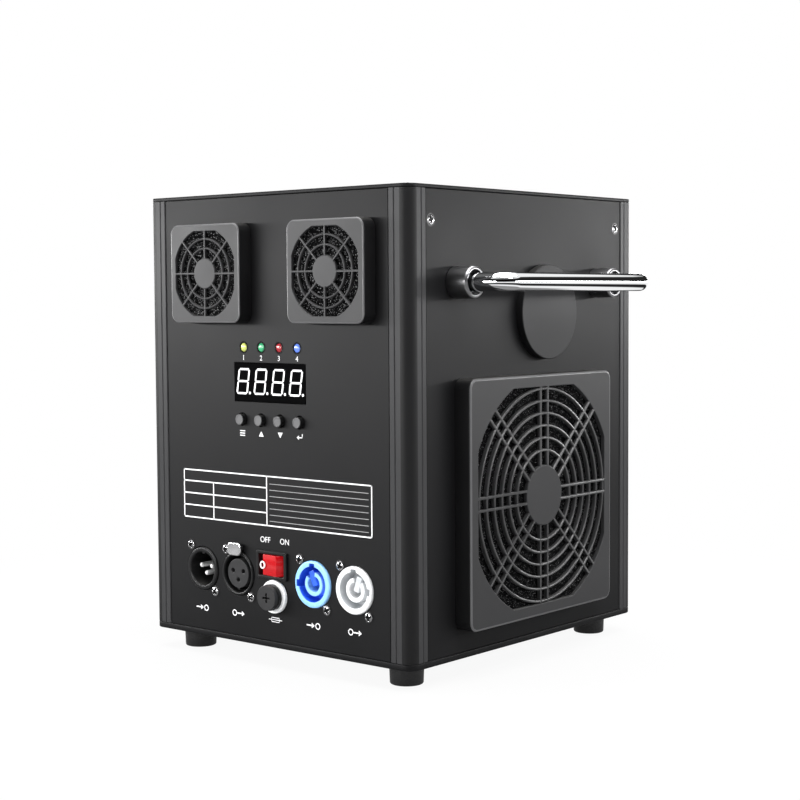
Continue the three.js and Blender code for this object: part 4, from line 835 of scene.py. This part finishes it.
def add_lamps():
    """A lens with a low dome, an arc over its radius squeezed to the dome's rise, in a dark ring."""
    radius, foot, rise, seat = 2.35, -1.0, 0.95, BACK_SEAT - SINK
    turn = np.linspace(0, np.pi / 2 - 0.03, 14)
    dome = np.stack([radius * np.cos(turn), foot + rise * np.sin(turn)], -1)
    lens = np.concatenate([[[2.5, -9.7], [2.5, -3.3], [3.3, -3.3], [3.3, seat], [radius, seat]], dome])
    sleeve = [[2.86, BACK_SEAT - 0.1], [2.86, -0.1], [2.42, -0.3], [2.42, BACK_SEAT - 0.1]]
    for i, (x, finish) in enumerate(zip(LAMP_X, LAMPS)):
        finishes = [(finish, [turned(lens, 48, x=x, y=LAMP_Y)]), (BLACK, [ring(sleeve, 0.0, 48, x, LAMP_Y)])]
        stand_in(f"status_lamp_{i + 1}", finishes, "front", LAMP_SLOTS[i])


def add_buttons():
    """A dark stem with a collar behind the panel and a dark skirt, and a paler face with a rim."""
    top = 2.2
    skirt = rounded(
        [
            [0.1, -5.1], [1.8, -5.1], [1.8, -3.2], [4.3, -3.2], [4.3, -2.2], [3.0, -2.2],
            [3.0, top - 0.15], [2.7, top - 0.15], [2.7, top - 0.6], [0.1, top - 0.6],
        ],
        [0, 0, 0, 0, 0, 0, 0.12, 0.05, 0, 0],
        5,
    )
    face = rounded(
        [[0.1, top - 0.65], [2.7, top - 0.65], [2.7, top], [2.2, top], [2.05, top - 0.14], [0.1, top - 0.1]],
        [0, 0, 0.25, 0.1, 0.1, 0],
        5,
    )
    for i, x in enumerate(BUTTON_X):
        shells = [turned(profile, 48, x=x, y=BUTTON_Y) for profile in (skirt, face)]
        stand_in(f"button_{i + 1}", [(BLACK, shells[:1]), (KEY, shells[1:])], "front", "black_plastic")


# Sockets


def socket_back(radius, floor):
    """A flange round the shell, and a closed barrel with its terminals behind the recess's floor."""
    flange = pierced(rectangle(26, 31, 2.5), [circle(radius - 0.2, 96)], BACK_SEAT - 2.4, BACK_SEAT, 0.3)
    barrel = turned([[radius, -22], [radius, floor - 0.9]], 96)
    terminals = slab(rectangle(12, 3, 0.4), -27, -21, 0.2)
    return [flange, barrel, terminals]


def place_all(shells, x, y):
    return [moved(shell, x, y) for shell in shells]


def stand_socket(node_name, x, finishes, slot):
    """A stand-in at its place in the row of sockets."""
    placed = [(finish, place_all(shells, x, SOCKET_LEVEL)) for finish, shells in finishes]
    stand_in(node_name, placed, "front", slot)


def ring_front(radius, proud, bore, floor, edge):
    """A socket's shell: its outer wall, rounded rim, bore and the bore's floor."""
    under = floor - 1
    profile = [[radius, under], [radius, proud], [bore, proud], [bore, floor], [0.1, floor], [0.1, under]]
    return turned(rounded(profile, [0, edge, edge, 0.3, 0, 0], 6), 96, True)


def contact_pin(radius, low, high):
    corners = [[0.1, low], [radius, low], [radius, high], [0.1, high]]
    return turned(rounded(corners, [0, 0, 0.8 * radius, 0], 6), 24)


def add_data_sockets():
    shell = ring_front(11.7, 0.5, 9.0, -14.5, 0.9)
    key = slab(rectangle(2.2, 1.3, 0.2, 0, 8.6), -14.0, -0.6, 0.2)
    pins = [moved(contact_pin(1.3, -15.5, -2.2), x, y) for x, y in ((-4, 1.2), (4, 1.2), (0, -2.8))]
    finishes = [(BLACK, [shell, key, *socket_back(11.2, -14.5)]), (PIN, pins)]
    stand_socket("data_in_socket", DATA_IN, finishes, "black_plastic")

    shell = ring_front(11.7, 0.5, 10.0, -8.5, 0.8)
    places = (-3.8, 1.4), (3.8, 1.4), (0, -3.4)
    insert = pierced(circle(7.8, 96), [circle(1.2, 32, x, y) for x, y in places], -8.6, -0.1, 0.35)
    cores = [turned([[1.35, -9.0], [1.35, -5.0]], 24, x=x, y=y) for x, y in places]
    key = slab(rectangle(2.0, 1.0, 0.2, 0, -8.2), -8.6, -0.4, 0.2)
    finishes = [(BLACK, [shell, key, *cores, *socket_back(11.2, -8.5)]), (GUARD, [insert])]
    stand_socket("data_out_socket", DATA_OUT, finishes, "black_plastic")

    tab = slab(rectangle(10.4, 7, 3.0, 0, 13.4, 8), 2.0, 3.2, 0.55, 0.2, 5)
    stem = slab(rectangle(7, 2.4, 0.3, 0, 13.7), -9, 2.4, 0.2)
    stand_socket("data_out_latch", DATA_OUT, [(NICKEL, [tab, stem])], "bright_steel")


def power_shells(keys, proud=0.9, floor=-8.1):
    """A socket's rim, and its round recess whose wall bulges at each key's angle in degrees."""
    radius, round_bore, key_bore, key_half, edge, lip_edge = 12.1, 9.2, 10.7, 1.9, 0.9, 0.3
    unit = circle(1.0, 192)
    bore = np.full(len(unit), round_bore)
    for turn in np.radians(keys):
        x = unit @ [np.cos(turn), np.sin(turn)]
        y = np.abs(unit @ [-np.sin(turn), np.cos(turn)])
        bore = np.where((x > 0) & (y * key_bore < key_half), key_bore, bore)

    def row(reach, height):
        return level(unit * np.broadcast_to(reach, len(unit))[:, None], height)

    quarter = np.linspace(0, np.pi / 2, 6)
    outer = [row(radius - edge * (1 - np.cos(q)), proud - edge * (1 - np.sin(q))) for q in quarter]
    lip = [row(bore + lip_edge * (1 - np.sin(q)), proud - lip_edge * (1 - np.cos(q))) for q in quarter]
    front = [row(radius, floor - 1), *outer, *lip]
    recess = [row(bore, floor), row(1.0, floor), row(1.0, floor - 1)]
    points, (faces,) = loft(np.array(front + recess), closed=True)
    deep = faces[:, 0] // len(unit) >= len(front) - 1
    return (points, [faces[~deep]]), (points, [faces[deep]])


def collar_shell(inner, outer, low, high, opening, towards, edge=0.35):
    """A part ring with an opening of a given width towards an angle in degrees."""
    middle, half = math.radians(towards), math.asin(opening / 2 / outer)
    angle = np.linspace(middle + half, middle + 2 * math.pi - half, 72)
    unit = np.stack([np.cos(angle), np.sin(angle)], -1)
    outline = np.concatenate([unit * outer, unit[::-1] * inner])
    return slab(outline, low, high, edge, 0.1, 4)


def add_power_sockets():
    for label, x, keys, towards, rim_finish, deep_finish, slot in (
        ("in", POWER_IN, (90, 180), 112, PALE_BLUE, BLUE, "blue_plastic"),
        ("out", POWER_OUT, (90, 0), 72, WHITE, GREY, "light_plastic"),
    ):
        rim, deep = power_shells(keys)
        collar = collar_shell(4.0, 6.2, -8.3, -0.5, 6.0, towards)
        core = moved(slab(rectangle(8.2, 3.6, 0.6, 3.0, 0), -8.4, -1.4, 0.4), turn=towards)
        finishes = [(rim_finish, [rim, collar]), (deep_finish, [deep, core, *socket_back(11.6, -8.1)])]
        stand_socket(f"power_{label}_socket", x, finishes, slot)


def screw_finishes(places, sizes, height, first_turn, turn_step, shade_ring):
    """Screws at a height, each turned a step further, with their crosses painted black as painted shade in
    the recess, and black rings round the heads as painted shade at their seats.
    """
    outer, inner, rise, edge = shade_ring
    low, high = PANEL_FACE - 0.1, PANEL_FACE + rise
    profile = [[outer, low], [outer, high], [inner, high], [inner, low]]
    # Painted shade: the faces down in each cross are split off to be black.
    parts = cross_apart(cross_screw(*sizes), *sizes)
    heads, painted_shade_parts = [], []
    for i, (x, y) in enumerate(places):
        head, cross = (moved(part, x, y, height, first_turn + turn_step * i) for part in parts)
        heads.append(head)
        painted_shade_parts += [cross, ring(profile, edge, 48, x, y)]
    return [(SCREW, heads), (BLACK, painted_shade_parts)]


def add_socket_screws():
    places = [
        (-62.4, 48.8), (-44.2, 24.9), (-35.5, 48.7), (-17.0, 24.7),
        (18.7, 48.4), (37.4, 24.1), (46.7, 48.0), (65.6, 24.0),
    ]
    shade_ring = (3.05, 2.1, 0.14, 0.05)
    finishes = screw_finishes(places, (2.45, 0.35, 0.75), PANEL_FACE + 0.12, 20, 37, shade_ring)
    piece("socket_screws", finishes, "front", slot="bright_steel")


# Rocker switch and fuse holder

ROCKER_TILT = -8


def add_switch():
    place = SWITCH_X, SWITCH_Y
    well, shell = rectangle(17.8, 11.4, 0.5, *place), rectangle(19.8, 13.6, 0.5, *place)
    bezel = pierced(rectangle(21.8, 14.6, 1.0, *place), [well], FRONT_SEAT - SINK, 1.2, 0.4)
    shells = [bezel, pierced(shell, [well], -11, 0.2, 0.2), slab(shell, -20, -10.8, 0.3)]
    stand_in("switch_body", [(BLACK, shells)], "front", "black_plastic")

    half, end_rise, middle_rise, foot, width = 8.1, 5.4, 4.8, -4.2, 10.8
    corners = [
        [0, middle_rise], [half, end_rise], [half, 0], [half - 2.6, foot],
        [-half + 2.6, foot], [-half, 0], [-half, end_rise],
    ]
    section = rounded(corners, [2.0, 0.8, 0.3, 0.4, 0.4, 0.3, 0.8], 5)[::-1]
    cap = upright(slab(section, -width / 2, width / 2, 0.3))
    pin = upright(turned([[1.2, -6.5], [1.2, 6.5]], 32))
    mark = ring([[2.1, 4.7], [2.1, 5.32], [1.35, 5.32], [1.35, 4.7]], 0.1, 48, -4.7, 0)

    def tilted(shell, height):
        return moved(shell, *place, height, 0, ROCKER_TILT)

    # The rocker's red carries a painted glow.
    finishes = [(RED_PAINTED_GLOW, [tilted(cap, -2.5), tilted(pin, -3)]), (INK, [tilted(mark, -2.5)])]
    stand_in("switch_rocker", finishes, "front", "red_plastic")


def add_fuse():
    place, seat, front = (FUSE_X, FUSE_Y), FRONT_SEAT, 1.8
    profile = [
        [0.1, -32], [6, -32], [6, seat], [8.7, seat], [8.7, front], [5.0, front], [5.0, -8], [0.1, -8]
    ]
    holder = turned(rounded(profile, [0, 0.3, 0, 0.1, 0.6, 0.2, 0, 0], 5), 72)
    stand_in("fuse_holder", [(WHITE, place_all([holder], *place))], "front", "light_plastic")

    top, head, arm, reach = 6.7, 6.6, 0.55, 2.7
    cross = [
        [arm, arm], [arm, reach], [-arm, reach], [-arm, arm], [-reach, arm], [-reach, -arm],
        [-arm, -arm], [-arm, -reach], [arm, -reach], [arm, -arm], [reach, -arm], [reach, arm],
    ]
    face = pierced(circle(6.3, 72), [np.array(cross, float)], top - 2.2, top, 0.12)
    rim = ring([[head, 4.4], [head, top], [6.15, top], [6.15, 4.4]], [0, 0.4, 0.1, 0], 72)
    profile = [[2.6, -24.9], [2.6, -4.9], [4.7, -4.9], [4.7, 2.1], [6.9, 2.1], [6.9, 4.3], [head, 4.6]]
    core = turned([*profile, [0.1, 4.6]], 72)
    finishes = [(BLACK, place_all([core], *place)), (GUARD, place_all([face, rim], *place))]
    stand_in("fuse_cap", finishes, "front", "black_plastic")


# Printed marks


def add_marks():
    """A blank ruled grid, the switch's words, the lamps' numbers, and signs at the rest."""
    low, high = PANEL_FACE - 0.03, PANEL_FACE + 0.03

    def shape(corners, x=0.0, y=0.0):
        return slab(np.array(corners, float) + [x, y], low, high, 0)

    def bar(x0, y0, x1, y1, x=0.0, y=0.0):
        return shape([[x0, y0], [x1, y0], [x1, y1], [x0, y1]], x, y)

    line, half = 0.68, 0.34
    left, right, top, foot = -68.0, 68.2, 90.1, 63.6
    split, first, rows = -4.75, -44.7, (83.7, 77.1, 70.6)
    grid = [
        bar(left, top - line, right, top),
        bar(left, foot, right, foot + line),
        bar(left, foot, left + line, top),
        bar(right - line, foot, right, top),
        bar(split - half, foot, split + half, top),
        bar(first - half, foot, first + half, rows[0]),
        *[bar(left, y - half, split, y + half) for y in rows],
    ]
    lines = [bar(split + 2.0, y, right - 2.4, y + 0.32) for y in 66.2 + 3.25 * np.arange(7)]
    words = [lettering(word, 3.0, x, 56.4, low, high) for word, x in (("OFF", -6.1), ("ON", 7.8))]
    numbers = [lettering(str(i + 1), 2.6, x, 151.35, low, high) for i, x in enumerate(LAMP_X)]
    menu, up, down, enter = ((x, 111.6) for x in BUTTON_X)
    signs = [
        *[bar(-1.9, -1.5 + rise, 1.9, -0.95 + rise, *menu) for rise in (0.0, 1.2, 2.4)],
        shape([[-1.8, -1.3], [1.8, -1.3], [0, 1.5]], *up),
        shape([[1.8, 1.4], [-1.8, 1.4], [0, -1.4]], *down),
        bar(-0.6, -0.75, 2.1, -0.2, *enter),
        bar(1.55, -0.75, 2.1, 1.4, *enter),
        shape([[-0.5, 0.75], [-2.1, -0.475], [-0.5, -1.7]], *enter),
    ]
    y, hoop = 15.1, [[1.7, low], [1.7, high], [1.15, high], [1.15, low]]
    for x, inward in ((-54.9, True), (-26.8, False), (27.4, True), (56.1, False)):
        tip, middle = (x + 1.2, x + 3.4) if inward else (x + 4.6, x - 2.8)
        signs += [
            bar(-5.6, -0.35, -1.8, 0.35, tip, y),
            shape([[-2.0, -1.4], [0, 0], [-2.0, 1.4]], tip, y),
            ring(hoop, 0, 48, middle, y),
        ]
    fuse_sign = (
        (-3.0, -1.3, 3.0, -0.9), (-3.0, 0.9, 3.0, 1.3), (-3.0, -1.3, -2.6, 1.3), (2.6, -1.3, 3.0, 1.3),
        (-4.8, -0.2, 4.8, 0.2),
    )
    signs += [bar(*ends, 0.7, 14.8) for ends in fuse_sign]
    finishes = [(INK, grid + words + numbers + signs), (FAINT_INK, lines)]
    piece("printed_marks", finishes, "front", slot="light_plastic")


# Handles, side disc and panel screws


def handle_path(half, low=3.6, reach=30.7, bend=6.2):
    """Straight out of one boss, a quarter turn, along the grip, a quarter turn and back in."""
    turn = np.linspace(0, np.pi / 2, 25)[:, None]
    rise = np.concatenate([-half + bend * (1 - np.cos(turn)), 0 * turn, reach - bend * (1 - np.sin(turn))], 1)
    grip = np.array([[x, 0, reach] for x in np.linspace(-half + bend, half - bend, 12)[1:-1]])
    first = np.array([[-half, 0, low], [-half, 0, (low + reach - bend) / 2]])
    return np.concatenate([first, rise, grip, rise[::-1] * [-1, 1, 1], first[::-1] * [-1, 1, 1]])


def add_handles():
    half, height, top = 62.7, 189.6, FRONT_SEAT + 12.5
    bar = swept(circle(4.7, 48), handle_path(half), (0, 1, 0))
    profile = [
        [0.1, FRONT_SEAT], [8.1, FRONT_SEAT], [8.1, top], [6.3, top], [6.0, top - 5],
        [4.95, top - 5.3], [4.95, top - 9], [0.1, top - 9],
    ]
    boss = turned(rounded(profile, [0, 0.15, 1.2, 0.3, 0, 0, 0, 0], 6), 96)
    for label, middle, front in (("right", -0.8, -half), ("left", 0.8, half)):
        stand_in(f"{label}_handle_bar", [(CHROME, [moved(bar, middle, height)])], label, "chrome")
        for end, x in (("front", middle + front), ("rear", middle - front)):
            finishes = [(BLACK_CHROME, [moved(boss, x, height)])]
            stand_in(f"{label}_handle_boss_{end}", finishes, label, "black_chrome")


def add_disc():
    """A flat disc whose wall, up to the first row of its rounded rim, is darker than its face as painted
    shade.
    """
    sides, steps = 160, 4
    outline = circle(25, sides, 12, 174.2)
    points, (quads, *ends) = slab(outline, FRONT_SEAT, FRONT_SEAT + 4.2, 0.5, 0.1, steps)
    wall = quads[:, 0] // sides < steps + 2
    # Painted shade: the wall takes the near-black wall finish.
    finishes = [(DISC, [(points, [quads[~wall], *ends])]), (GUARD_WALL_SHADE, [(points, [quads[wall]])])]
    stand_in("side_disc", finishes, "right", "black_plastic")


def add_panel_screws():
    for side, ends in (("right", (-83.0, 81.4)), ("left", (-81.4, 83.0))):
        places, shade_ring = [(x, 220.0) for x in ends], (3.3, 2.5, 0.12, 0.06)
        finishes = screw_finishes(places, (2.55, 0.15, 0.45), PANEL_FACE - SINK, 15, 40, shade_ring)
        piece(f"{side}_panel_screws", finishes, side, slot="bright_steel")
    screw, x, y = cross_screw(2.9, 0.15, 0.5), WIDTH / 2 - 7.4, DEPTH / 2 - 7.4
    corners = enumerate(((1, 1), (-1, 1), (-1, -1), (1, -1)))
    heads = [moved(screw, across * x, back * y, BODY_TOP, 10 + 33 * i) for i, (across, back) in corners]
    piece("top_cover_screws", [(BLACK_SCREW, heads)], "plan", slot="black_chrome")


# Nozzle, hopper and lid


def add_nozzle():
    seat, top, foot = BODY_TOP + SEAT, BODY_TOP + RIM_HEIGHT, 126
    outer = NOZZLE_BORE + NOZZLE_WALL - GAP
    profile = [
        [outer, foot], [outer, seat], [RIM_RADIUS, seat], [RIM_RADIUS, top], [NOZZLE_BORE, top],
        [NOZZLE_BORE, foot],
    ]
    nozzle = turned(rounded(profile, [0, 0, 0.3, 1.2, 1.2, 0], 8), 128, True)
    stand_in("nozzle", [(STEEL, [nozzle])], "plan", "bright_steel")


def along_x(outline, height, low, high):
    """An outline in Y and Z, raised to a height and carried along X."""
    return loft(np.stack([np.insert(outline + [0, height], 0, x, 1) for x in (low, high)]))


def add_hopper():
    """The hopper with its two hinge lugs, and the lid with its knuckle and the hinge's pin."""
    seat, foot, cone_top, wall_top = BODY_TOP + SEAT, 151.3, 156.3, 200
    rim_top = seat + 2.5
    outer = HOPPER_BORE + HOPPER_WALL - GAP
    profile = [
        [7.0, foot], [7.0, cone_top], [outer, wall_top], [outer, seat], [HOPPER_RIM, seat],
        [HOPPER_RIM, rim_top], [HOPPER_BORE, rim_top], [HOPPER_BORE, wall_top], [5.5, cone_top], [5.5, foot],
    ]
    bin_shell = turned(rounded(profile, [0, 0, 0, 0, 0.2, 0.6, 0.6, 0, 0, 0], 5), 128, True)
    lid_foot, lid_top = rim_top + SEAT, 260.0
    hinge_y, hinge_z = 30.5, lid_foot + 1.5
    back = [[32.7, 2.2], [28.3, 2.2]]
    lug = rounded([[25.4, -3.2], [32.7, -3.2], *back, [28.3, 0], [25.4, 0]], [0, 0.3, 2.0, 2.0, 0.3, 0], 6)
    lugs = [along_x(lug, hinge_z, x - 1.5, x + 1.5) for x in (-8.3, 8.3)]
    place = HOPPER_X, HOPPER_Y
    finishes = [(STEEL, place_all([bin_shell], *place)), (PAINT, place_all(lugs, *place))]
    stand_in("hopper", finishes, "plan", "bright_steel")

    profile = [
        [20.9, lid_foot - 2.2], [20.9, lid_foot], [LID_RADIUS, lid_foot], [LID_RADIUS, lid_foot + 3],
        [4.5, lid_foot + 3], [4.5, lid_top - 4.4], [6.9, lid_top - 2.2], [6.2, lid_top], [0.2, lid_top - 0.1],
    ]
    soft = rounded(profile, [0.2, 0, 0.2, 0.9, 0.6, 0.8, 0.9, 0.9, 0], 6)
    lid = turned([[0.2, lid_foot - 2.0], [19.4, lid_foot - 2.0], *soft.tolist()], 128)
    corners = [[23.2, -1.3], [32.7, -1.3], *back, [28.3, 1.3], [23.2, 1.3]]
    knuckle = along_x(rounded(corners, [0, 1.3, 2.0, 2.0, 0.3, 0], 6), hinge_z, -6.5, 6.5)
    pin = along_x(circle(1.2, 32, hinge_y), hinge_z, -9.8, 9.8)
    finishes = [(PAINT, place_all([lid, knuckle], *place)), (NICKEL, place_all([pin], *place))]
    stand_in("hopper_lid", finishes, "plan", "painted_sheet")


# The inner pieces keep their CAD shapes

INNER = {
    FAN: [
        "left_fan_frame", "left_fan_rotor", "right_fan_frame", "right_fan_rotor", "side_fan_frame",
        "side_fan_rotor", "blower_impeller",
    ],
    BLACK: ["blower_housing"],
    BOARD: ["main_board"],
    CERAMIC: ["heating_core"],
    CAST: ["feed_unit"],
    STEEL: ["feed_screw"],
}


def dress_inner():
    for material, names in INNER.items():
        for name in names:
            for slot in frame["nodes"][name].material_slots:
                slot.material = material


add_plates()
add_posts()
add_feet()
add_panels()
add_guards()
add_display()
add_lamps()
add_buttons()
add_data_sockets()
add_power_sockets()
add_socket_screws()
add_switch()
add_fuse()
add_marks()
add_handles()
add_disc()
add_panel_screws()
add_nozzle()
add_hopper()
dress_inner()

# Floor, background, lights and camera. A ramp's stops are pairs of a place and a grey: the
# floor's places are metres from the middle, the background's are the sine of the height.

FLOOR_RINGS = (
    (0.0, 0.25), (0.28, 0.25), (0.31, 1.0), (0.41, 1.0), (0.46, 0.02), (0.9, 0.02), (0.98, 1.0), (1.0, 1.0),
)
SKY_BANDS = (0.0, 1.0), (0.03, 1.0), (0.06, 0.02), (0.5, 0.02), (0.53, 1.0), (1.0, 1.0)
TO_PHOTOGRAPHER = (0.64, -0.77, 0.0)


def fill_ramp(ramp, stops):
    """Grey values at their places along a ramp."""
    for element, (position, value) in zip(ramp.elements, (stops[0], stops[-1])):
        element.position, element.color = position, (value, value, value, 1)
    for position, value in stops[1:-1]:
        ramp.elements.new(position).color = (value, value, value, 1)


def seen_directly(tree):
    """1 for camera, glossy and transmission rays, otherwise 0."""
    path = node(tree, "LightPath").outputs
    both = maths(tree, "MAXIMUM", path["Is Camera Ray"], path["Is Glossy Ray"])
    return maths(tree, "MAXIMUM", both, path["Is Transmission Ray"])


def add_floor():
    """White to the camera, a little less near the object so that its shadow shows. To metal it has
    a dark ring, as a black flag on a studio floor gives chrome its bands."""
    material = bpy.data.materials.new("pale_floor")
    material.use_nodes = True
    tree = material.node_tree
    shader = tree.nodes["Principled BSDF"]
    shader.inputs["Roughness"].default_value = 0.9
    shader.inputs["Specular IOR Level"].default_value = 0.1
    place = node(tree, "TexCoord").outputs["Object"]
    tint = mixed(tree, noise(tree, place, 3.0), (0.5, 0.5, 0.5, 1), (0.52, 0.52, 0.52, 1))
    tree.links.new(tint, shader.inputs["Base Color"])
    distance = node(tree, "VectorMath", {0: place}, operation="LENGTH").outputs["Value"]
    rings = node(tree, "ValToRGB", {"Fac": distance})
    fill_ramp(rings.color_ramp, FLOOR_RINGS)
    path = node(tree, "LightPath").outputs
    tone = mixed(tree, path["Is Glossy Ray"], (1, 1, 1, 1), rings.outputs["Color"])
    glow = node(tree, "Emission", {"Color": tone, "Strength": 1.0})
    share = maths(tree, "MULTIPLY", seen_directly(tree), ranged(tree, distance, 0.15, 0.4, 0.93, 1.0))
    mix = node(tree, "MixShader", {0: share, 1: shader.outputs[0], 2: glow.outputs[0]})
    tree.links.new(mix.outputs[0], tree.nodes["Material Output"].inputs["Surface"])
    radius, sides = 6.0, 96
    mesh = bpy.data.meshes.new("floor")
    mesh.from_pydata(np.insert(circle(radius, sides), 2, 0.0, 1).tolist(), [], [list(range(sides))])
    mesh.materials.append(material)
    floor = bpy.data.objects.new("floor", mesh)
    bpy.context.collection.objects.link(floor)


def add_world():
    """White to the camera and soft grey to matt surfaces. Metal sees a white horizon, a dark band
    over it and a white ceiling, all darker towards the room behind the photographer."""
    world = bpy.data.worlds.new("studio")
    bpy.context.scene.world = world
    world.use_nodes = True
    tree = world.node_tree
    tree.nodes.clear()
    out = tree.nodes.new("ShaderNodeOutputWorld")
    path = node(tree, "LightPath").outputs
    direction = node(tree, "TexCoord").outputs["Generated"]
    rise = node(tree, "SeparateXYZ", {"Vector": direction}).outputs["Z"]
    bands = node(tree, "ValToRGB", {"Fac": rise})
    fill_ramp(bands.color_ramp, SKY_BANDS)
    ends = {0: direction, 1: TO_PHOTOGRAPHER}
    towards = node(tree, "VectorMath", ends, operation="DOT_PRODUCT").outputs["Value"]
    grey = ranged(tree, towards, 0.0, 1.0, 1.0, 0.1)
    shade = node(tree, "CombineColor", dict.fromkeys(("Red", "Green", "Blue"), grey))
    parts = {0: 1.0, 6: bands.outputs["Color"], 7: shade.outputs[0]}
    room = node(tree, "Mix", parts, data_type="RGBA", blend_type="MULTIPLY").outputs[2]
    reflected = maths(tree, "MAXIMUM", path["Is Glossy Ray"], path["Is Transmission Ray"])
    white = (1, 1, 1, 1)
    ambient, studio, plain = (
        node(tree, "Background", {"Color": colour, "Strength": strength}).outputs[0]
        for colour, strength in ((white, 0.34), (room, 1.0), (white, 1.0))
    )
    first = node(tree, "MixShader", {0: reflected, 1: ambient, 2: studio})
    last = node(tree, "MixShader", {0: path["Is Camera Ray"], 1: first.outputs[0], 2: plain})
    tree.links.new(last.outputs[0], out.inputs["Surface"])


def stand_at(made, place, across, up, back):
    """Links an object to the scene at a place in metres, with three unit vectors as its axes."""
    turn = Matrix(np.stack([across, up, back], 1).tolist())
    made.matrix_world = Matrix.Translation(place) @ turn.to_4x4()
    bpy.context.collection.objects.link(made)


def add_light(name, place, target, size, power):
    """A rectangular light at a place in millimetres, turned to a target."""
    light = bpy.data.lights.new(name, "AREA")
    light.shape, light.size, light.size_y, light.energy = "RECTANGLE", size[0] * MM, size[1] * MM, power
    back = np.array(place, float) - np.array(target, float)
    back /= np.linalg.norm(back)
    across = np.cross((0, 0, 1), back)
    across /= np.linalg.norm(across)
    made = bpy.data.objects.new(name, light)
    stand_at(made, [v * MM for v in place], across, np.cross(back, across), back)


def add_lights():
    add_light("front_strip", (-560, -770, 256), (0, -96, 200), (1600, 60), 13.0)
    add_light("right_strip", (660, 680, 256), (93, 4, 200), (1600, 60), 6.5)
    add_light("rear_strip", (-700, 640, 280), (-40, 60, 150), (1000, 120), 4.0)
    add_light("edge_glint", (720, -120, 860), (104, 3, 89), (220, 220), 4.5)
    add_light("overhead_softbox", (0.5, 0, 900), (0, 4, 248), (1000, 1000), 20.0)


def add_camera():
    """The photograph's camera, from a fit of the body's corners and edges: a focal length in
    pixels of an 800 pixel wide picture, angles in radians and a place in metres."""
    sensor, picture, focal = 36.0, 800, 1646.614
    azimuth, pitch, roll = 0.699631, 0.062501, -0.006288
    camera = bpy.data.cameras.new("camera")
    camera.sensor_width, camera.lens = sensor, sensor * focal / picture
    camera.clip_start, camera.clip_end = 0.01, 50.0
    level_part = np.cos(pitch)
    forward = np.array([-np.sin(azimuth) * level_part, np.cos(azimuth) * level_part, -np.sin(pitch)])
    right = np.array([np.cos(azimuth), np.sin(azimuth), 0])
    up = np.cross(right, forward)
    across = right * np.cos(roll) + up * np.sin(roll)
    over = -right * np.sin(roll) + up * np.cos(roll)
    made = bpy.data.objects.new("camera", camera)
    stand_at(made, [0.598479, -0.703686, 0.193364], across, over, -forward)
    bpy.context.scene.camera = made


add_floor()
add_world()
add_lights()
add_camera()
bpy.context.scene.view_settings.view_transform = "Standard"
